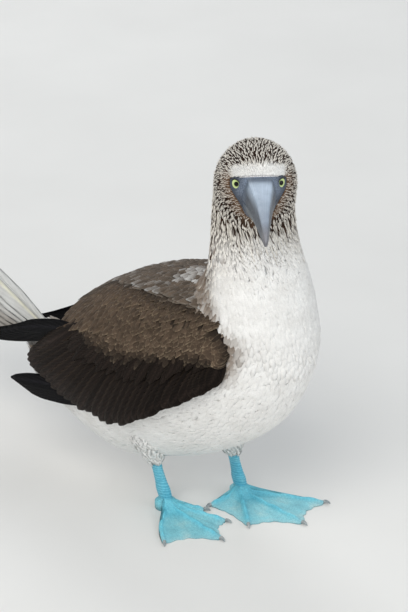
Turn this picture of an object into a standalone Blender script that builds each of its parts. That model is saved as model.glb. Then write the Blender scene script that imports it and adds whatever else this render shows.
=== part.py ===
"""A blue-footed booby, life size, standing with its head turned to its right.

Metres, +Z up. The bird faces -Y and its left side is at +X. The body, neck and head are one
loft of flat sections, parted by thin cuts. Wings and tail are cores with overlapping vanes.
"""
import math

import bmesh
import bpy
import numpy as np
from mathutils import Vector

# Driving sizes, in metres and radians
GAP = 0.0003
SHIFT = np.array([-0.008, -0.0072, 0.005])  # body against feet, so that the weight is over them
NECK_AXIS_Y = -0.062
HEAD_YAW = math.radians(44)
HEAD_PITCH = math.radians(6)
HEAD_LEAN = (0.0011, -0.0012)  # how far the head stands to the side of the neck's root
EYE_LINE = (-0.092, 0.371)  # y and z of the point between the eyes, before the head turns
EYE_RADIUS = 0.0085
EYE_ANGLE = math.radians(47)
EYE_APEX = (0.0035, 0.0215, 0.0)
BILL_BASE = 0.0113
BILL_LENGTH = 0.1010
GAPE_HEIGHT = -0.0095
TAIL_LIFT = math.radians(28)
TAIL_LENGTH = 0.19
LEG_TOP = 0.085
FOOT_HEIGHT = 0.013
WEB = 0.0022

# Sections of the torso and neck: dorsal y, z, ventral y, z, half width, rise of the widest place
TRUNK = [
    (0.204, 0.126, 0.199, 0.099, 0.024, 0.0),
    (0.172, 0.153, 0.170, 0.068, 0.046, 0.0),
    (0.132, 0.190, 0.130, 0.046, 0.061, 0.10),
    (0.088, 0.221, 0.078, 0.036, 0.071, 0.10),
    (0.050, 0.240, 0.018, 0.053, 0.075, 0.10),
    (0.018, 0.250, -0.045, 0.084, 0.073, 0.10),
    (-0.008, 0.259, -0.098, 0.129, 0.067, 0.10),
    (-0.023, 0.275, -0.124, 0.185, 0.059, 0.05),
    (-0.028, 0.295, -0.118, 0.238, 0.051, 0.0),
    (-0.028, 0.315, -0.106, 0.282, 0.0425, 0.0),
]
# Sections of the upper neck and head in the head's own axes: forward and up from the point
# between the eyes at the back or crown, then the same at the throat, half width, rise
HEAD = [
    (-0.066, -0.028, 0.004, -0.052, 0.0378, 0.0),
    (-0.065, -0.008, 0.002, -0.043, 0.0375, 0.0),
    (-0.058, 0.010, 0.003, -0.038, 0.0378, 0.0),
    (-0.046, 0.023, 0.004, -0.035, 0.0368, 0.0),
    (-0.028, 0.030, 0.006, -0.033, 0.0325, 0.0),
    (-0.012, 0.0295, 0.008, -0.0315, 0.0260, 0.0),
    (0.000, 0.0245, 0.010, -0.030, 0.0203, 0.0),
    (0.006, 0.019, 0.011, -0.0285, 0.0175, 0.0),
    (0.011, 0.0135, 0.011, -0.027, 0.0162, 0.0),
]
NECK_CUT = 8.3
HEAD_CUT = 11.0
AROUND = 28

# The folded wing seen from the side: y, z points round its panel, from the top of the shoulder
WING_OUTLINE = [
    (-0.022, 0.235), (-0.053, 0.236), (-0.072, 0.226), (-0.075, 0.208), (-0.059, 0.183),
    (-0.022, 0.152), (0.025, 0.127), (0.071, 0.111), (0.113, 0.111), (0.150, 0.119),
    (0.165, 0.134), (0.158, 0.152), (0.140, 0.172), (0.110, 0.192), (0.066, 0.213), (0.019, 0.229),
]
WING_MIDDLE = (0.035, 0.176)
WING_DEPTH = 0.090  # of the folded wing's outer face from the median plane, at its fullest
WING_SOFTNESS = 0.004  # of the bend where the wing begins to lie over the back
INSET = 0.0058  # of the wing's core under the long feathers
VANE_THICK = 0.0006
VANE_TILT = 0.0020  # rise of a vane's front edge over its rear edge, which the next one covers
# Roots and tips of the secondaries, y and z, from the wrist back and then up to the innermost
SECONDARY_ROOTS = [
    (-0.069, 0.221), (-0.061, 0.209), (-0.042, 0.197), (-0.015, 0.188), (0.012, 0.180), (0.039, 0.174),
    (0.065, 0.172), (0.090, 0.174), (0.102, 0.181), (0.101, 0.188), (0.094, 0.194),
]
SECONDARY_TIPS = [
    (-0.066, 0.188), (-0.044, 0.165), (-0.012, 0.142), (0.021, 0.118), (0.056, 0.102), (0.093, 0.101),
    (0.131, 0.104), (0.164, 0.114), (0.188, 0.122), (0.177, 0.135), (0.165, 0.149),
]
SECONDARIES = 13
COVERTS = 9
COVERT_LENGTH = 0.050
PRIMARIES = 4
# The hand's inner feathers show under the secondaries as a blunt dark lobe: depth, y, z of each
# one's root, middle and tip, and its half width
LOBE = [
    ([(0.0720, 0.062, 0.135), (0.0645, 0.132, 0.113), (0.0512, 0.2125, 0.0885)], 0.0115),
    ([(0.0708, 0.059, 0.123), (0.0638, 0.126, 0.1025), (0.0515, 0.192, 0.082)], 0.0100),
]
# Shares of a vane's length and of its width there
VANE_SHAPE = [(0.0, 0.35), (0.25, 0.9), (0.60, 1.0), (0.88, 0.82), (1.0, 0.25)]
TAIL_ROLL = math.radians(34)
TAIL_PAIRS = 5
TAIL_SPREAD = math.radians(3.0)
DROOP = {-1: 0.0, 1: 0.007}  # how much lower each wing hangs, the right one first
PRIMARY_PATH = [
    (0.0725, 0.042, 0.183), (0.061, 0.0985, 0.172), (0.052, 0.138, 0.164), (0.043, 0.1805, 0.149),
    (0.036, 0.2175, 0.133), (0.031, 0.257, 0.119), (0.027, 0.320, 0.101),
]

FINISHES = {
    "white_feather": ((0.80, 0.78, 0.75), 0.85),
    "speckled_feather": ((0.45, 0.38, 0.32), 0.85),
    "brown_feather": ((0.075, 0.055, 0.042), 0.75),
    "tail_feather": ((0.66, 0.65, 0.64), 0.75),
    "bill": ((0.30, 0.36, 0.44), 0.5),
    "eye": ((0.75, 0.80, 0.15), 0.15),
    "blue_skin": ((0.08, 0.52, 0.66), 0.55),
    "claw": ((0.32, 0.30, 0.30), 0.5),
}


def clear_scene():
    for obj in list(bpy.data.objects):
        bpy.data.objects.remove(obj, do_unlink=True)


def make_material(name):
    colour, roughness = FINISHES[name]
    mat = bpy.data.materials.new(name)
    mat.use_nodes = True
    shader = mat.node_tree.nodes["Principled BSDF"]
    shader.inputs["Base Color"].default_value = (*colour, 1.0)
    shader.inputs["Roughness"].default_value = roughness
    shader.inputs["Metallic"].default_value = 0.0
    return mat


def new_mesh_object(name, points, faces, finish, place):
    mesh = bpy.data.meshes.new(name)
    mesh.from_pydata([tuple(map(float, p)) for p in points], [], [tuple(f) for f in faces])
    mesh.update()
    obj = bpy.data.objects.new(name, mesh)
    place.objects.link(obj)
    mesh.materials.append(bpy.data.materials.get(finish) or make_material(finish))
    face_outwards(mesh)
    return obj


def face_outwards(mesh):
    bm = bmesh.new()
    bm.from_mesh(mesh)
    bmesh.ops.recalc_face_normals(bm, faces=bm.faces)
    if bm.calc_volume(signed=True) < 0:
        bmesh.ops.reverse_faces(bm, faces=bm.faces)
    bm.to_mesh(mesh)
    bm.free()


def loft_faces(rings, around):
    """Triangles between rings of the same count, split alike, and a flat cap at each end."""
    faces = []
    for i in range(rings - 1):
        for k in range(around):
            a, b = i * around + k, i * around + (k + 1) % around
            c, d = b + around, a + around
            faces += [(a, b, c), (a, c, d)]
    faces.append(tuple(range(around - 1, -1, -1)))
    faces.append(tuple(range((rings - 1) * around, rings * around)))
    return faces


def loft(name, rings, finish, place):
    around = len(rings[0])
    obj = new_mesh_object(name, np.concatenate(rings), loft_faces(len(rings), around), finish, place)
    obj.data.shade_smooth()
    return obj


def between(rows, t):
    """The row at station t of a list of rows, on a Catmull-Rom curve through them."""
    rows = np.asarray(rows, float)
    i = min(max(int(math.floor(t)), 0), len(rows) - 2)
    f = t - i
    before = rows[i - 1] if i > 0 else 2 * rows[0] - rows[1]
    after = rows[i + 2] if i + 2 < len(rows) else 2 * rows[-1] - rows[-2]
    a, b = rows[i], rows[i + 1]
    return 0.5 * (2 * a + (b - before) * f + (2 * before - 5 * a + 4 * b - after) * f * f
                  + (3 * a - before - 3 * b + after) * f ** 3)


def smooth_step(x):
    x = min(max(x, 0.0), 1.0)
    return x * x * (3 - 2 * x)


def head_to_profile(forward, up):
    """y and z in the median plane, before the head turns, of a point in the head's axes."""
    c, s = math.cos(HEAD_PITCH), math.sin(HEAD_PITCH)
    return EYE_LINE[0] - forward * c - up * s, EYE_LINE[1] - forward * s + up * c


def body_rows():
    rows = list(TRUNK)
    for df, du, vf, vu, width, rise in HEAD:
        rows.append((*head_to_profile(df, du), *head_to_profile(vf, vu), width, rise))
    return rows


ROWS = body_rows()
LAST = len(ROWS) - 1
TWIST_FROM, TWIST_TO = 7.0, len(TRUNK) + 1.0


def turn(points, share):
    """Points turned by a share of the head's turn about the neck's axis, then set over the feet."""
    c, s = math.cos(HEAD_YAW * share), math.sin(HEAD_YAW * share)
    x, y, z = points[:, 0], points[:, 1] - NECK_AXIS_Y, points[:, 2]
    turned = np.stack([x * c + y * s, y * c - x * s + NECK_AXIS_Y, z], 1)
    return turned + SHIFT + share * np.array([*HEAD_LEAN, 0.0])


def body_ring(t, grow=0.0, around=AROUND):
    """One flat section of the body: an oval from its dorsal to its ventral point."""
    dy, dz, vy, vz, width, rise = between(ROWS, t)
    back, belly = np.array([dy, dz]), np.array([vy, vz])
    middle, half = (back + belly) / 2, (back - belly) / 2
    half = half * (1 + grow / np.linalg.norm(half))
    phi = np.arange(around) * 2 * math.pi / around
    along = np.cos(phi) + rise * np.sin(phi) ** 2
    profile = middle + along[:, None] * half
    x = (width + grow) * np.sin(phi)
    points = np.stack([x, profile[:, 0], profile[:, 1]], 1)
    return turn(points, smooth_step((t - TWIST_FROM) / (TWIST_TO - TWIST_FROM)))


def section_normal(ring):
    middle = ring.mean(0)
    normal = np.cross(ring[0] - middle, ring[len(ring) // 4] - middle)
    return normal / np.linalg.norm(normal)


def body_part(name, first, last, step, finish, place, grow=0.0, set_off=False):
    """The body between two stations. set_off moves its first section clear of the part before."""
    stations = np.linspace(first, last, max(2, int(round((last - first) / step)) + 1))
    rings = [body_ring(t, grow) for t in stations]
    if set_off:
        ahead = section_normal(rings[0])
        if np.dot(ahead, rings[1].mean(0) - rings[0].mean(0)) < 0:
            ahead = -ahead
        rings[0] = rings[0] + ahead * GAP
    return loft(name, rings, finish, place)


def head_frame(points):
    """Points given as forward, left and up from between the eyes, set in the turned head."""
    points = np.atleast_2d(np.asarray(points, float))
    y, z = head_to_profile(points[:, 0], points[:, 2])
    return turn(np.stack([points[:, 1], y, z], 1), 1.0)


def apply_boolean(obj, operation, other, solver="EXACT"):
    """Cuts with an object or joins a collection, applies it and removes what was used."""
    mod = obj.modifiers.new("join", "BOOLEAN")
    mod.operation = operation
    mod.solver = solver
    used = [other]
    if isinstance(other, bpy.types.Collection):
        mod.operand_type = "COLLECTION"
        mod.collection = other
        used = list(other.objects)
    else:
        mod.object = other
    bpy.context.view_layer.update()
    made = bpy.data.meshes.new_from_object(obj.evaluated_get(bpy.context.evaluated_depsgraph_get()))
    obj.modifiers.clear()
    obj.data = made
    for piece in used:
        bpy.data.objects.remove(piece, do_unlink=True)
    if isinstance(other, bpy.types.Collection):
        bpy.data.collections.remove(other)
    keep_largest(obj)


def keep_largest(obj):
    """Drops every closed surface of the mesh but the largest."""
    bm = bmesh.new()
    bm.from_mesh(obj.data)
    bmesh.ops.remove_doubles(bm, verts=bm.verts, dist=1e-7)
    left, groups = set(bm.verts), []
    while left:
        stack, group = [left.pop()], set()
        while stack:
            vert = stack.pop()
            group.add(vert)
            for edge in vert.link_edges:
                other = edge.other_vert(vert)
                if other in left:
                    left.discard(other)
                    stack.append(other)
        groups.append(group)
    reach = [max((v.co for v in g), key=lambda c: c.y).y - min(v.co.y for v in g) for g in groups]
    sizes = [len(g) * r for g, r in zip(groups, reach)]
    keep = groups[sizes.index(max(sizes))]
    bmesh.ops.delete(bm, geom=[v for v in bm.verts if v not in keep], context="VERTS")
    bm.to_mesh(obj.data)
    bm.free()


def new_collection(name, parent=None):
    made = bpy.data.collections.new(name)
    (parent or bpy.context.scene.collection).children.link(made)
    return made


def sphere(name, middle, radius, finish, place, segments=20):
    bm = bmesh.new()
    bmesh.ops.create_uvsphere(bm, u_segments=segments, v_segments=segments // 2, radius=radius)
    bmesh.ops.translate(bm, verts=bm.verts, vec=Vector(middle))
    mesh = bpy.data.meshes.new(name)
    bm.to_mesh(mesh)
    bm.free()
    obj = bpy.data.objects.new(name, mesh)
    place.objects.link(obj)
    mesh.materials.append(bpy.data.materials.get(finish) or make_material(finish))
    mesh.shade_smooth()
    return obj


def eye_axis(side):
    return np.array([math.cos(EYE_ANGLE), side * math.sin(EYE_ANGLE), 0.0])


def eye_middle(side):
    apex = np.array([EYE_APEX[0], side * EYE_APEX[1], EYE_APEX[2]])
    return apex - eye_axis(side) * EYE_RADIUS


def ring_round_eye(name, side, place, radius=0.0070, thickness=0.0011, around=20, sides=6):
    """The rim of the lids: a torus round the eye's own axis."""
    axis = eye_axis(side)
    across = np.array([-axis[1], axis[0], 0.0])
    up = np.array([0.0, 0.0, 1.0])
    middle = eye_middle(side) + axis * math.sqrt(EYE_RADIUS ** 2 - radius ** 2)
    points, faces = [], []
    for i in range(around):
        a = 2 * math.pi * i / around
        out = across * math.cos(a) + up * math.sin(a)
        for k in range(sides):
            b = 2 * math.pi * k / sides
            points.append(middle + out * (radius + thickness * math.cos(b)) + axis * thickness * math.sin(b))
            j, m = (i + 1) % around, (k + 1) % sides
            p, q, r, s = i * sides + k, j * sides + k, j * sides + m, i * sides + m
            faces += [(p, q, r), (p, r, s)]
    return new_mesh_object(name, head_frame(points), faces, "speckled_feather", place)


def mouth_groove(name, side, place):
    """A thin wedge that marks the corner of the mouth on the side of the face."""
    points = []
    for forward, inner, outer in ((0.016, 0.0150, 0.030), (-0.006, 0.0225, 0.040)):
        height = GAPE_HEIGHT - (0.012 - forward) * 0.10
        for left in (inner, outer):
            for up in (-0.0005, 0.0005):
                points.append((forward, side * left, height + up))
    faces = [(0, 1, 3, 2), (4, 6, 7, 5), (0, 4, 5, 1), (2, 3, 7, 6), (0, 2, 6, 4), (1, 5, 7, 3)]
    return new_mesh_object(name, head_frame(points), faces, "speckled_feather", place)


def make_head(bird):
    head = body_part("head", HEAD_CUT, LAST, 0.5, "speckled_feather", bird, set_off=True)
    for side in (-1, 1):
        lid = new_collection("lid")
        ring_round_eye("lid_rim", side, lid)
        apply_boolean(head, "UNION", lid)
        socket = sphere("socket", head_frame([eye_middle(side)])[0], EYE_RADIUS + GAP, "eye", bird)
        apply_boolean(head, "DIFFERENCE", socket)
        apply_boolean(head, "DIFFERENCE", mouth_groove("mouth_cut", side, bird))
    head.data.shade_smooth()
    for side, name in ((-1, "eye_right"), (1, "eye_left")):
        sphere(name, head_frame([eye_middle(side)])[0], EYE_RADIUS, "eye", bird, 16)


# Bill sizes along its length: forward, top height, gape height, bottom height, half widths of
# the top plate, of the gape and of the lower edge
BILL = [
    (0.0000, 0.0130, -0.0095, -0.0265, 0.0122, 0.0158, 0.0095),
    (0.0120, 0.0125, -0.0093, -0.0240, 0.0104, 0.0126, 0.0076),
    (0.0280, 0.0112, -0.0088, -0.0200, 0.0080, 0.0096, 0.0056),
    (0.0460, 0.0092, -0.0080, -0.0160, 0.0061, 0.0074, 0.0041),
    (0.0640, 0.0066, -0.0071, -0.0124, 0.0044, 0.0055, 0.0030),
    (0.0770, 0.0042, -0.0064, -0.0098, 0.0031, 0.0040, 0.0022),
    (0.0850, 0.0016, -0.0058, -0.0082, 0.0021, 0.0028, 0.0015),
]


def upper_bill_ring(forward, top, gape, bottom, plate, wide, low):
    """Flat culmen plate, a groove under its edge, then a side that spreads to the gape."""
    half = [(0.0, top), (plate * 0.6, top - 0.0003), (plate, top - 0.0016), (plate * 0.98, top - 0.0034),
            (wide * 0.93, (top + gape) / 2 - 0.0012), (wide, gape + 0.0012), (wide * 0.94, gape), (0.0, gape)]
    return mirrored_ring(forward + BILL_BASE, half)


def lower_bill_ring(forward, top, gape, bottom, plate, wide, low):
    deep = gape - GAP
    half = [(0.0, deep), (wide * 0.92, deep), (wide * 0.96, deep - 0.0010),
            (wide * 0.90, (deep + bottom) / 2), (low, bottom + 0.0012),
            (low * 0.5, bottom), (0.0, bottom - 0.0004)]
    return mirrored_ring(forward + BILL_BASE, half)


def mirrored_ring(forward, half):
    right = [(forward, -left, up) for left, up in half[1:-1]]
    left = [(forward, left, up) for left, up in half]
    return head_frame(left + right[::-1])


def make_bill(bird):
    stations = np.arange(0, len(BILL) - 0.99, 0.5)
    rows = [between(BILL, t) for t in stations]
    upper = [upper_bill_ring(*row) for row in rows]
    lower = [lower_bill_ring(*row) for row in rows]
    last = rows[-1]
    tip = last.copy()
    tip[0], tip[1], tip[2], tip[4], tip[5] = BILL_LENGTH - BILL_BASE, -0.0035, -0.0072, 0.0006, 0.0008
    upper.append(upper_bill_ring(*tip))
    loft("bill_upper", upper, "bill", bird)
    loft("bill_lower", lower, "bill", bird)


def wing_depth(y, z):
    """How far the folded wing's outer face stands from the median plane.

    A bowed panel on the bird's side that leans over the back, where an oval round the body,
    a little wider and higher than the torso's sections, is nearer to the median plane.
    """
    bend_y = np.where(y < 0.02, 1.6, 0.8)
    panel = WING_DEPTH - bend_y * (y - 0.02) ** 2 - 3.0 * (z - 0.165) ** 2
    middle = 0.158 - 0.345 * y + 0.45 * y * y
    half_high = 0.1015 - np.where(y < 0.03, 1.6, 2.65) * (y - 0.03) ** 2
    half_wide = 0.0883 - 1.25 * (y - 0.025) ** 2
    seat = half_wide * np.sqrt(1 - np.clip((z - middle) / half_high, 0, 0.97) ** 2)
    return (panel + seat - np.sqrt((panel - seat) ** 2 + WING_SOFTNESS ** 2)) / 2


def core_inset(y, z):
    """The wing's core lies deeper below the roots of the secondaries."""
    roots = np.array(SECONDARY_ROOTS[:9])
    below = (np.interp(y, roots[:, 0], roots[:, 1]) - z + 0.002) / 0.014
    below = np.clip(below, 0.0, 1.0)
    return INSET * below * below * (3 - 2 * below)


def smooth_closed(points, count):
    """count points on a closed Catmull-Rom curve through the given ones."""
    points = np.asarray(points, float)
    n = len(points)
    out = []
    for k in range(count):
        t = k * n / count
        i, f = int(t), t - int(t)
        p0, p1, p2, p3 = points[(i - 1) % n], points[i % n], points[(i + 1) % n], points[(i + 2) % n]
        out.append(0.5 * (2 * p1 + (p2 - p0) * f + (2 * p0 - 5 * p1 + 4 * p2 - p3) * f * f
                          + (3 * p1 - p0 - 3 * p2 + p3) * f ** 3))
    return np.array(out)


def wing_panel(name, side, place, around=28, rings=4, thick=0.016, edge=0.0016):
    """The covert panel: a lens with the wing's outline, bulging with the body's side."""
    rim = smooth_closed(WING_OUTLINE, around)
    middle = np.array(WING_MIDDLE)
    outer, inner = [], []
    for i in range(rings + 1):
        share = i / rings
        flat = middle + (rim - middle) * share
        depth = wing_depth(flat[:, 0], flat[:, 1]) - core_inset(flat[:, 0], flat[:, 1])
        fade = edge + (thick - edge) * (1 - share ** 2)
        outer.append(np.stack([depth, flat[:, 0], flat[:, 1]], 1))
        inner.append(np.stack([depth - fade, flat[:, 0], flat[:, 1]], 1))
    points = [outer[0][0], inner[0][0]]
    base = []
    for layer in (outer, inner):
        for ring in layer[1:]:
            base.append(len(points))
            points += list(ring)
    faces = []
    for side_index in (0, 1):
        starts = base[side_index * rings:(side_index + 1) * rings]
        for k in range(around):
            faces.append((side_index, starts[0] + k, starts[0] + (k + 1) % around))
            for a, b in zip(starts, starts[1:]):
                m = (k + 1) % around
                faces += [(a + k, b + k, b + m), (a + k, b + m, a + m)]
    top, bottom = base[rings - 1], base[2 * rings - 1]
    for k in range(around):
        m = (k + 1) % around
        faces += [(top + k, bottom + k, bottom + m), (top + k, bottom + m, top + m)]
    points = np.array(points)
    points[:, 0] *= side
    return new_mesh_object(name, points + SHIFT - (0, 0, DROOP[side]), faces, "brown_feather", place)


def set_wing(points, side):
    """Points given as depth, y, z put on one side of the bird, over its feet."""
    points = np.array(points, float)
    points[:, 0] *= side
    return points + SHIFT - (0, 0, DROOP[side])


def vane(name, middles, fronts, rears, outward, thick, finish, place):
    """A feather as a thin lens: hexagonal sections from the edges' and middle's own outer points."""
    rings = []
    for middle, front, rear in zip(middles, fronts, rears):
        low = outward * thick
        under = [rear - low * 0.85, middle - low * 1.3, front - low * 0.85]
        rings.append(np.array([front, middle, rear, *under]))
    return loft(name, rings, finish, place)


def wing_vane(side, path, half, lift, tilt, place, root_sink=0.0035, thick=VANE_THICK):
    """A vane along a path of y, z points, lying lift above the wing's face, its front edge high."""
    fronts, middles, rears = [], [], []
    for share, wide in VANE_SHAPE:
        here = between(path, share * (len(path) - 1))
        last = len(path) - 1
        ahead = between(path, min(share + 0.02, 1.0) * last) - between(path, max(share - 0.02, 0.0) * last)
        ahead = ahead / np.linalg.norm(ahead)
        across = np.array([ahead[1], -ahead[0]])
        rise = lift - root_sink * max(0.0, 1 - share / 0.16)
        for store, reach, up in ((fronts, half, tilt / 2), (middles, 0.0, 0.0002), (rears, -half, -tilt / 2)):
            y, z = here + across * reach * wide
            store.append((wing_depth(y, z) + rise + up * wide, y, z))
    out = np.array([side, 0.0, 0.0])
    edges = set_wing(fronts, side), set_wing(rears, side)
    return vane("vane", set_wing(middles, side), *edges, out, thick, "brown_feather", place)


def make_secondaries(side, place, random):
    """The long feathers of the forearm: each overlies the one before it."""
    for i in range(SECONDARIES):
        share = i / (SECONDARIES - 1)
        t = share * (len(SECONDARY_ROOTS) - 1)
        root, tip = between(SECONDARY_ROOTS, t), between(SECONDARY_TIPS, t)
        tip = tip + (tip - root) * random.uniform(-0.02, 0.03)
        sag = np.array([-0.002, -0.003])
        lift = -0.0031 + 0.0036 * smooth_step((share - 0.6) / 0.4)
        half = 0.0125 - 0.0025 * share
        wing_vane(side, [root, (root + tip) / 2 + sag, tip], half, lift, VANE_TILT, place)


def make_coverts(side, place, random):
    """The greater coverts: a shorter tier over the roots of the secondaries."""
    for i in range(COVERTS):
        t = (0.04 + 0.76 * i / (COVERTS - 1)) * (len(SECONDARY_ROOTS) - 1)
        root, tip = between(SECONDARY_ROOTS, t), between(SECONDARY_TIPS, t)
        along = (tip - root) / np.linalg.norm(tip - root)
        length = COVERT_LENGTH * random.uniform(0.95, 1.05) * min(1.0, 0.6 + 0.16 * t)
        start = root - along * 0.010
        wing_vane(side, [start, start + along * length], 0.0115, 0.0002, 0.0018, place)


def hand_vane(side, path, half, place):
    """A feather of the hand along a path of depth, y, z points, its upper edge drawn back."""
    rings = []
    for share, wide in VANE_SHAPE:
        depth, y, z = between(path, share * (len(path) - 1))
        reach = half * wide
        ring = [(depth - 0.0002, y - 0.3 * reach, z - reach), (depth + 0.0002, y, z)]
        ring.append((depth - 0.0003, y + 0.3 * reach, z + reach))
        ring += [(d - VANE_THICK * 0.9, b, c) for d, b, c in ring[::-1]]
        rings.append(set_wing(ring, side))
    loft("hand_vane", rings, "brown_feather", place)


def make_hand(side, place):
    """The primaries, nested, with staggered tips behind the wing, and the lobe below them."""
    for k in range(PRIMARIES):
        last = (1 - 0.09 * k) * (len(PRIMARY_PATH) - 1)
        step = np.array([(k - 1.5) * 0.0011, 0.0, 0.0025 * k - 0.0040])
        path = [between(PRIMARY_PATH, last * share) + step for share in np.linspace(0, 1, 6)]
        hand_vane(side, path, 0.0090, place)
    for path, half in LOBE:
        hand_vane(side, path, half, place)


def make_wing(name, side, bird):
    random = np.random.default_rng(7)
    wing = wing_panel(name, side, bird)
    pieces = new_collection("wing_pieces")
    make_secondaries(side, pieces, random)
    make_coverts(side, pieces, random)
    make_hand(side, pieces)
    apply_boolean(wing, "UNION", pieces, "MANIFOLD")
    clear = body_part("body_clear", 0, NECK_CUT + 1.5, 0.5, "brown_feather", bird, grow=2 * GAP)
    apply_boolean(wing, "DIFFERENCE", clear, "MANIFOLD")
    wing.data.shade_smooth()
    return wing


def tail_vane(side, pair, place):
    """One tail feather: the two middle ones are the longest and lie on top, as on a roof's ridge."""
    along = np.array([0.0, math.cos(TAIL_LIFT), math.sin(TAIL_LIFT)])
    upward = np.array([0.0, -math.sin(TAIL_LIFT), math.cos(TAIL_LIFT)])
    slope = np.array([side * math.cos(TAIL_ROLL), 0.0, 0.0]) - math.sin(TAIL_ROLL) * upward
    outward = math.cos(TAIL_ROLL) * upward + np.array([side * math.sin(TAIL_ROLL), 0.0, 0.0])
    ridge = body_ring(0)[0] - upward * 0.0025
    start = ridge + slope * (0.0030 + 0.0028 * pair) - outward * 0.0010 * pair - along * 0.004
    if side < 0:
        start = start + upward * 0.0005
    angle = TAIL_SPREAD * pair + math.radians(1.0)
    heading = along * math.cos(angle) + slope * math.sin(angle)
    across = slope * math.cos(angle) - along * math.sin(angle)
    length = TAIL_LENGTH * (1 - 0.075 * pair)
    half = 0.0092
    fronts, middles, rears = [], [], []
    for share, wide in VANE_SHAPE:
        here = start + heading * length * share - upward * 0.010 * share * share
        middles.append(here + outward * 0.0004)
        fronts.append(here - across * half * wide + outward * 0.0005)
        rears.append(here + across * half * wide - outward * 0.0006)
    return vane("rectrix", middles, fronts, rears, outward, 0.0007, "tail_feather", place)


def make_tail(bird):
    """A short fleshy root that meets the body's last section, with six pairs of long vanes."""
    root = body_ring(0)
    middle, normal = root.mean(0), section_normal(root)
    normal = normal if normal[1] > 0 else -normal
    along = np.array([0.0, math.cos(TAIL_LIFT), math.sin(TAIL_LIFT)])
    upward = np.array([0.0, -math.sin(TAIL_LIFT), math.cos(TAIL_LIFT)])
    phi = np.arange(AROUND) * 2 * math.pi / AROUND
    rings = [root + normal * GAP]
    for reach, wide, high in ((0.014, 0.0215, 0.0105), (0.026, 0.0170, 0.0075), (0.036, 0.0080, 0.0030)):
        centre = middle + along * reach
        rings.append(centre + np.outer(np.sin(phi) * wide, [1, 0, 0]) + np.outer(np.cos(phi) * high, upward))
    tail = loft("tail", rings, "tail_feather", bird)
    pieces = new_collection("tail_pieces")
    for pair in range(TAIL_PAIRS):
        for side in (-1, 1):
            tail_vane(side, pair, pieces)
    apply_boolean(tail, "UNION", pieces, "MANIFOLD")
    clear = body_part("body_clear", 0, 4, 0.5, "tail_feather", bird, grow=GAP)
    apply_boolean(tail, "DIFFERENCE", clear, "MANIFOLD")
    tail.data.shade_smooth()


TOE_SHARE = 0.92  # of a toe's length, the rest is claw
TOE_WIDTH = 0.0023
TOE_RISE = 0.0042
ANKLE = 0.0062
HEEL = 0.0105
WEB_COLUMNS = 3
WEB_DIP = 0.12

# Feet: side, joint on the floor, and each toe's angle from forward towards the outside and length,
# from the outer toe to the hind toe, and where the shank enters the belly
FEET = {
    "right": (-1, (-0.028, 0.024), ((48, 0.0765), (7.6, 0.090), (-15, 0.072), (-30, 0.042)),
              (-0.0293, 0.0348)),
    "left": (1, (0.0405, -0.0138), ((28.5, 0.092), (-2.6, 0.091), (-41.5, 0.068), (-97, 0.042)),
             (0.0347, -0.0092)),
}


def toe_points(foot):
    side, joint, toes, _ = FEET[foot]
    tips = []
    for angle, length in toes:
        a = math.radians(angle)
        tips.append(np.array([joint[0] + side * length * math.sin(a), joint[1] - length * math.cos(a)]))
    return np.array(joint), tips


def toe_row(joint, tips, share, fan):
    """Points across the foot at a share of the toes' length, with their toe's height. fan is 1 or
    -1 as the toes follow one another anticlockwise or clockwise."""
    row = []
    for i, tip in enumerate(tips):
        reach = tip - joint
        across = np.array([-reach[1], reach[0]]) / np.linalg.norm(reach) * fan
        half = TOE_WIDTH * min(1.0, share / 0.4)
        middle = joint + reach * share
        row += [(*(middle - across * half), 0.35), (*middle, 1.0), (*(middle + across * half), 0.35)]
        if i + 1 < len(tips):
            end = tips[i + 1] - joint
            other = np.array([-end[1], end[0]]) / np.linalg.norm(end) * fan
            start, stop = middle + across * half, joint + end * share - other * half
            for k in range(1, WEB_COLUMNS):
                f = k / WEB_COLUMNS
                dip = 1 - WEB_DIP * math.sin(math.pi * f) * share
                row.append((*(joint + (start * (1 - f) + stop * f - joint) * dip), 0.0))
    return row


def make_foot(foot, bird):
    """A web with four raised toes that spread from the joint, and a short round heel."""
    joint, tips = toe_points(foot)
    fan = -FEET[foot][0]
    tips = [joint + (tip - joint) * TOE_SHARE for tip in tips]
    top, bottom = [], []
    for share in (0.09, 0.2, 0.34, 0.5, 0.68, 0.85, 1.0):
        row = np.array(toe_row(joint, tips, share, fan))
        first, last = row[0, :2] - joint, row[-1, :2] - joint
        a0, a1 = math.atan2(first[1], first[0]), math.atan2(last[1], last[0])
        a0 += 2 * math.pi if fan > 0 and a0 < a1 else 0.0
        a0 -= 2 * math.pi if fan < 0 and a0 > a1 else 0.0
        behind = np.linspace(a1, a0, 9)[1:-1]
        heel = joint + HEEL * share * np.column_stack([np.cos(behind), np.sin(behind)])
        flat = np.concatenate([row[:, :2], heel])
        ridge = np.concatenate([row[:, 2], np.full(7, 0.3)])
        reach = np.linalg.norm(flat - joint, axis=1)
        high = WEB + ridge * TOE_RISE * (1 - 0.4 * share)
        high = np.maximum(high, FOOT_HEIGHT * np.exp(-(reach / 0.0135) ** 2))
        if share < 0.1:
            flat = joint + (flat - joint) / reach[:, None] * ANKLE
            high = np.full(len(flat), FOOT_HEIGHT)
        top.append(np.column_stack([flat, high]))
        bottom.append(np.column_stack([flat, np.zeros(len(flat))]))
    n, rows = len(top[0]), len(top)
    points = np.concatenate([*top, *bottom, [[*joint, FOOT_HEIGHT], [*joint, 0.0]]])
    faces, half = [], rows * n
    for k in range(n):
        m = (k + 1) % n
        for offset in (0, half):
            faces.append((2 * half + (offset > 0), offset + k, offset + m))
            for i in range(rows - 1):
                a, b = offset + i * n, offset + (i + 1) * n
                faces += [(a + k, b + k, b + m), (a + k, b + m, a + m)]
        a, b = half - n, 2 * half - n
        faces += [(a + k, b + k, b + m), (a + k, b + m, a + m)]
    obj = new_mesh_object("foot_" + foot, points, faces, "blue_skin", bird)
    obj.data.shade_smooth()
    return obj


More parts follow.
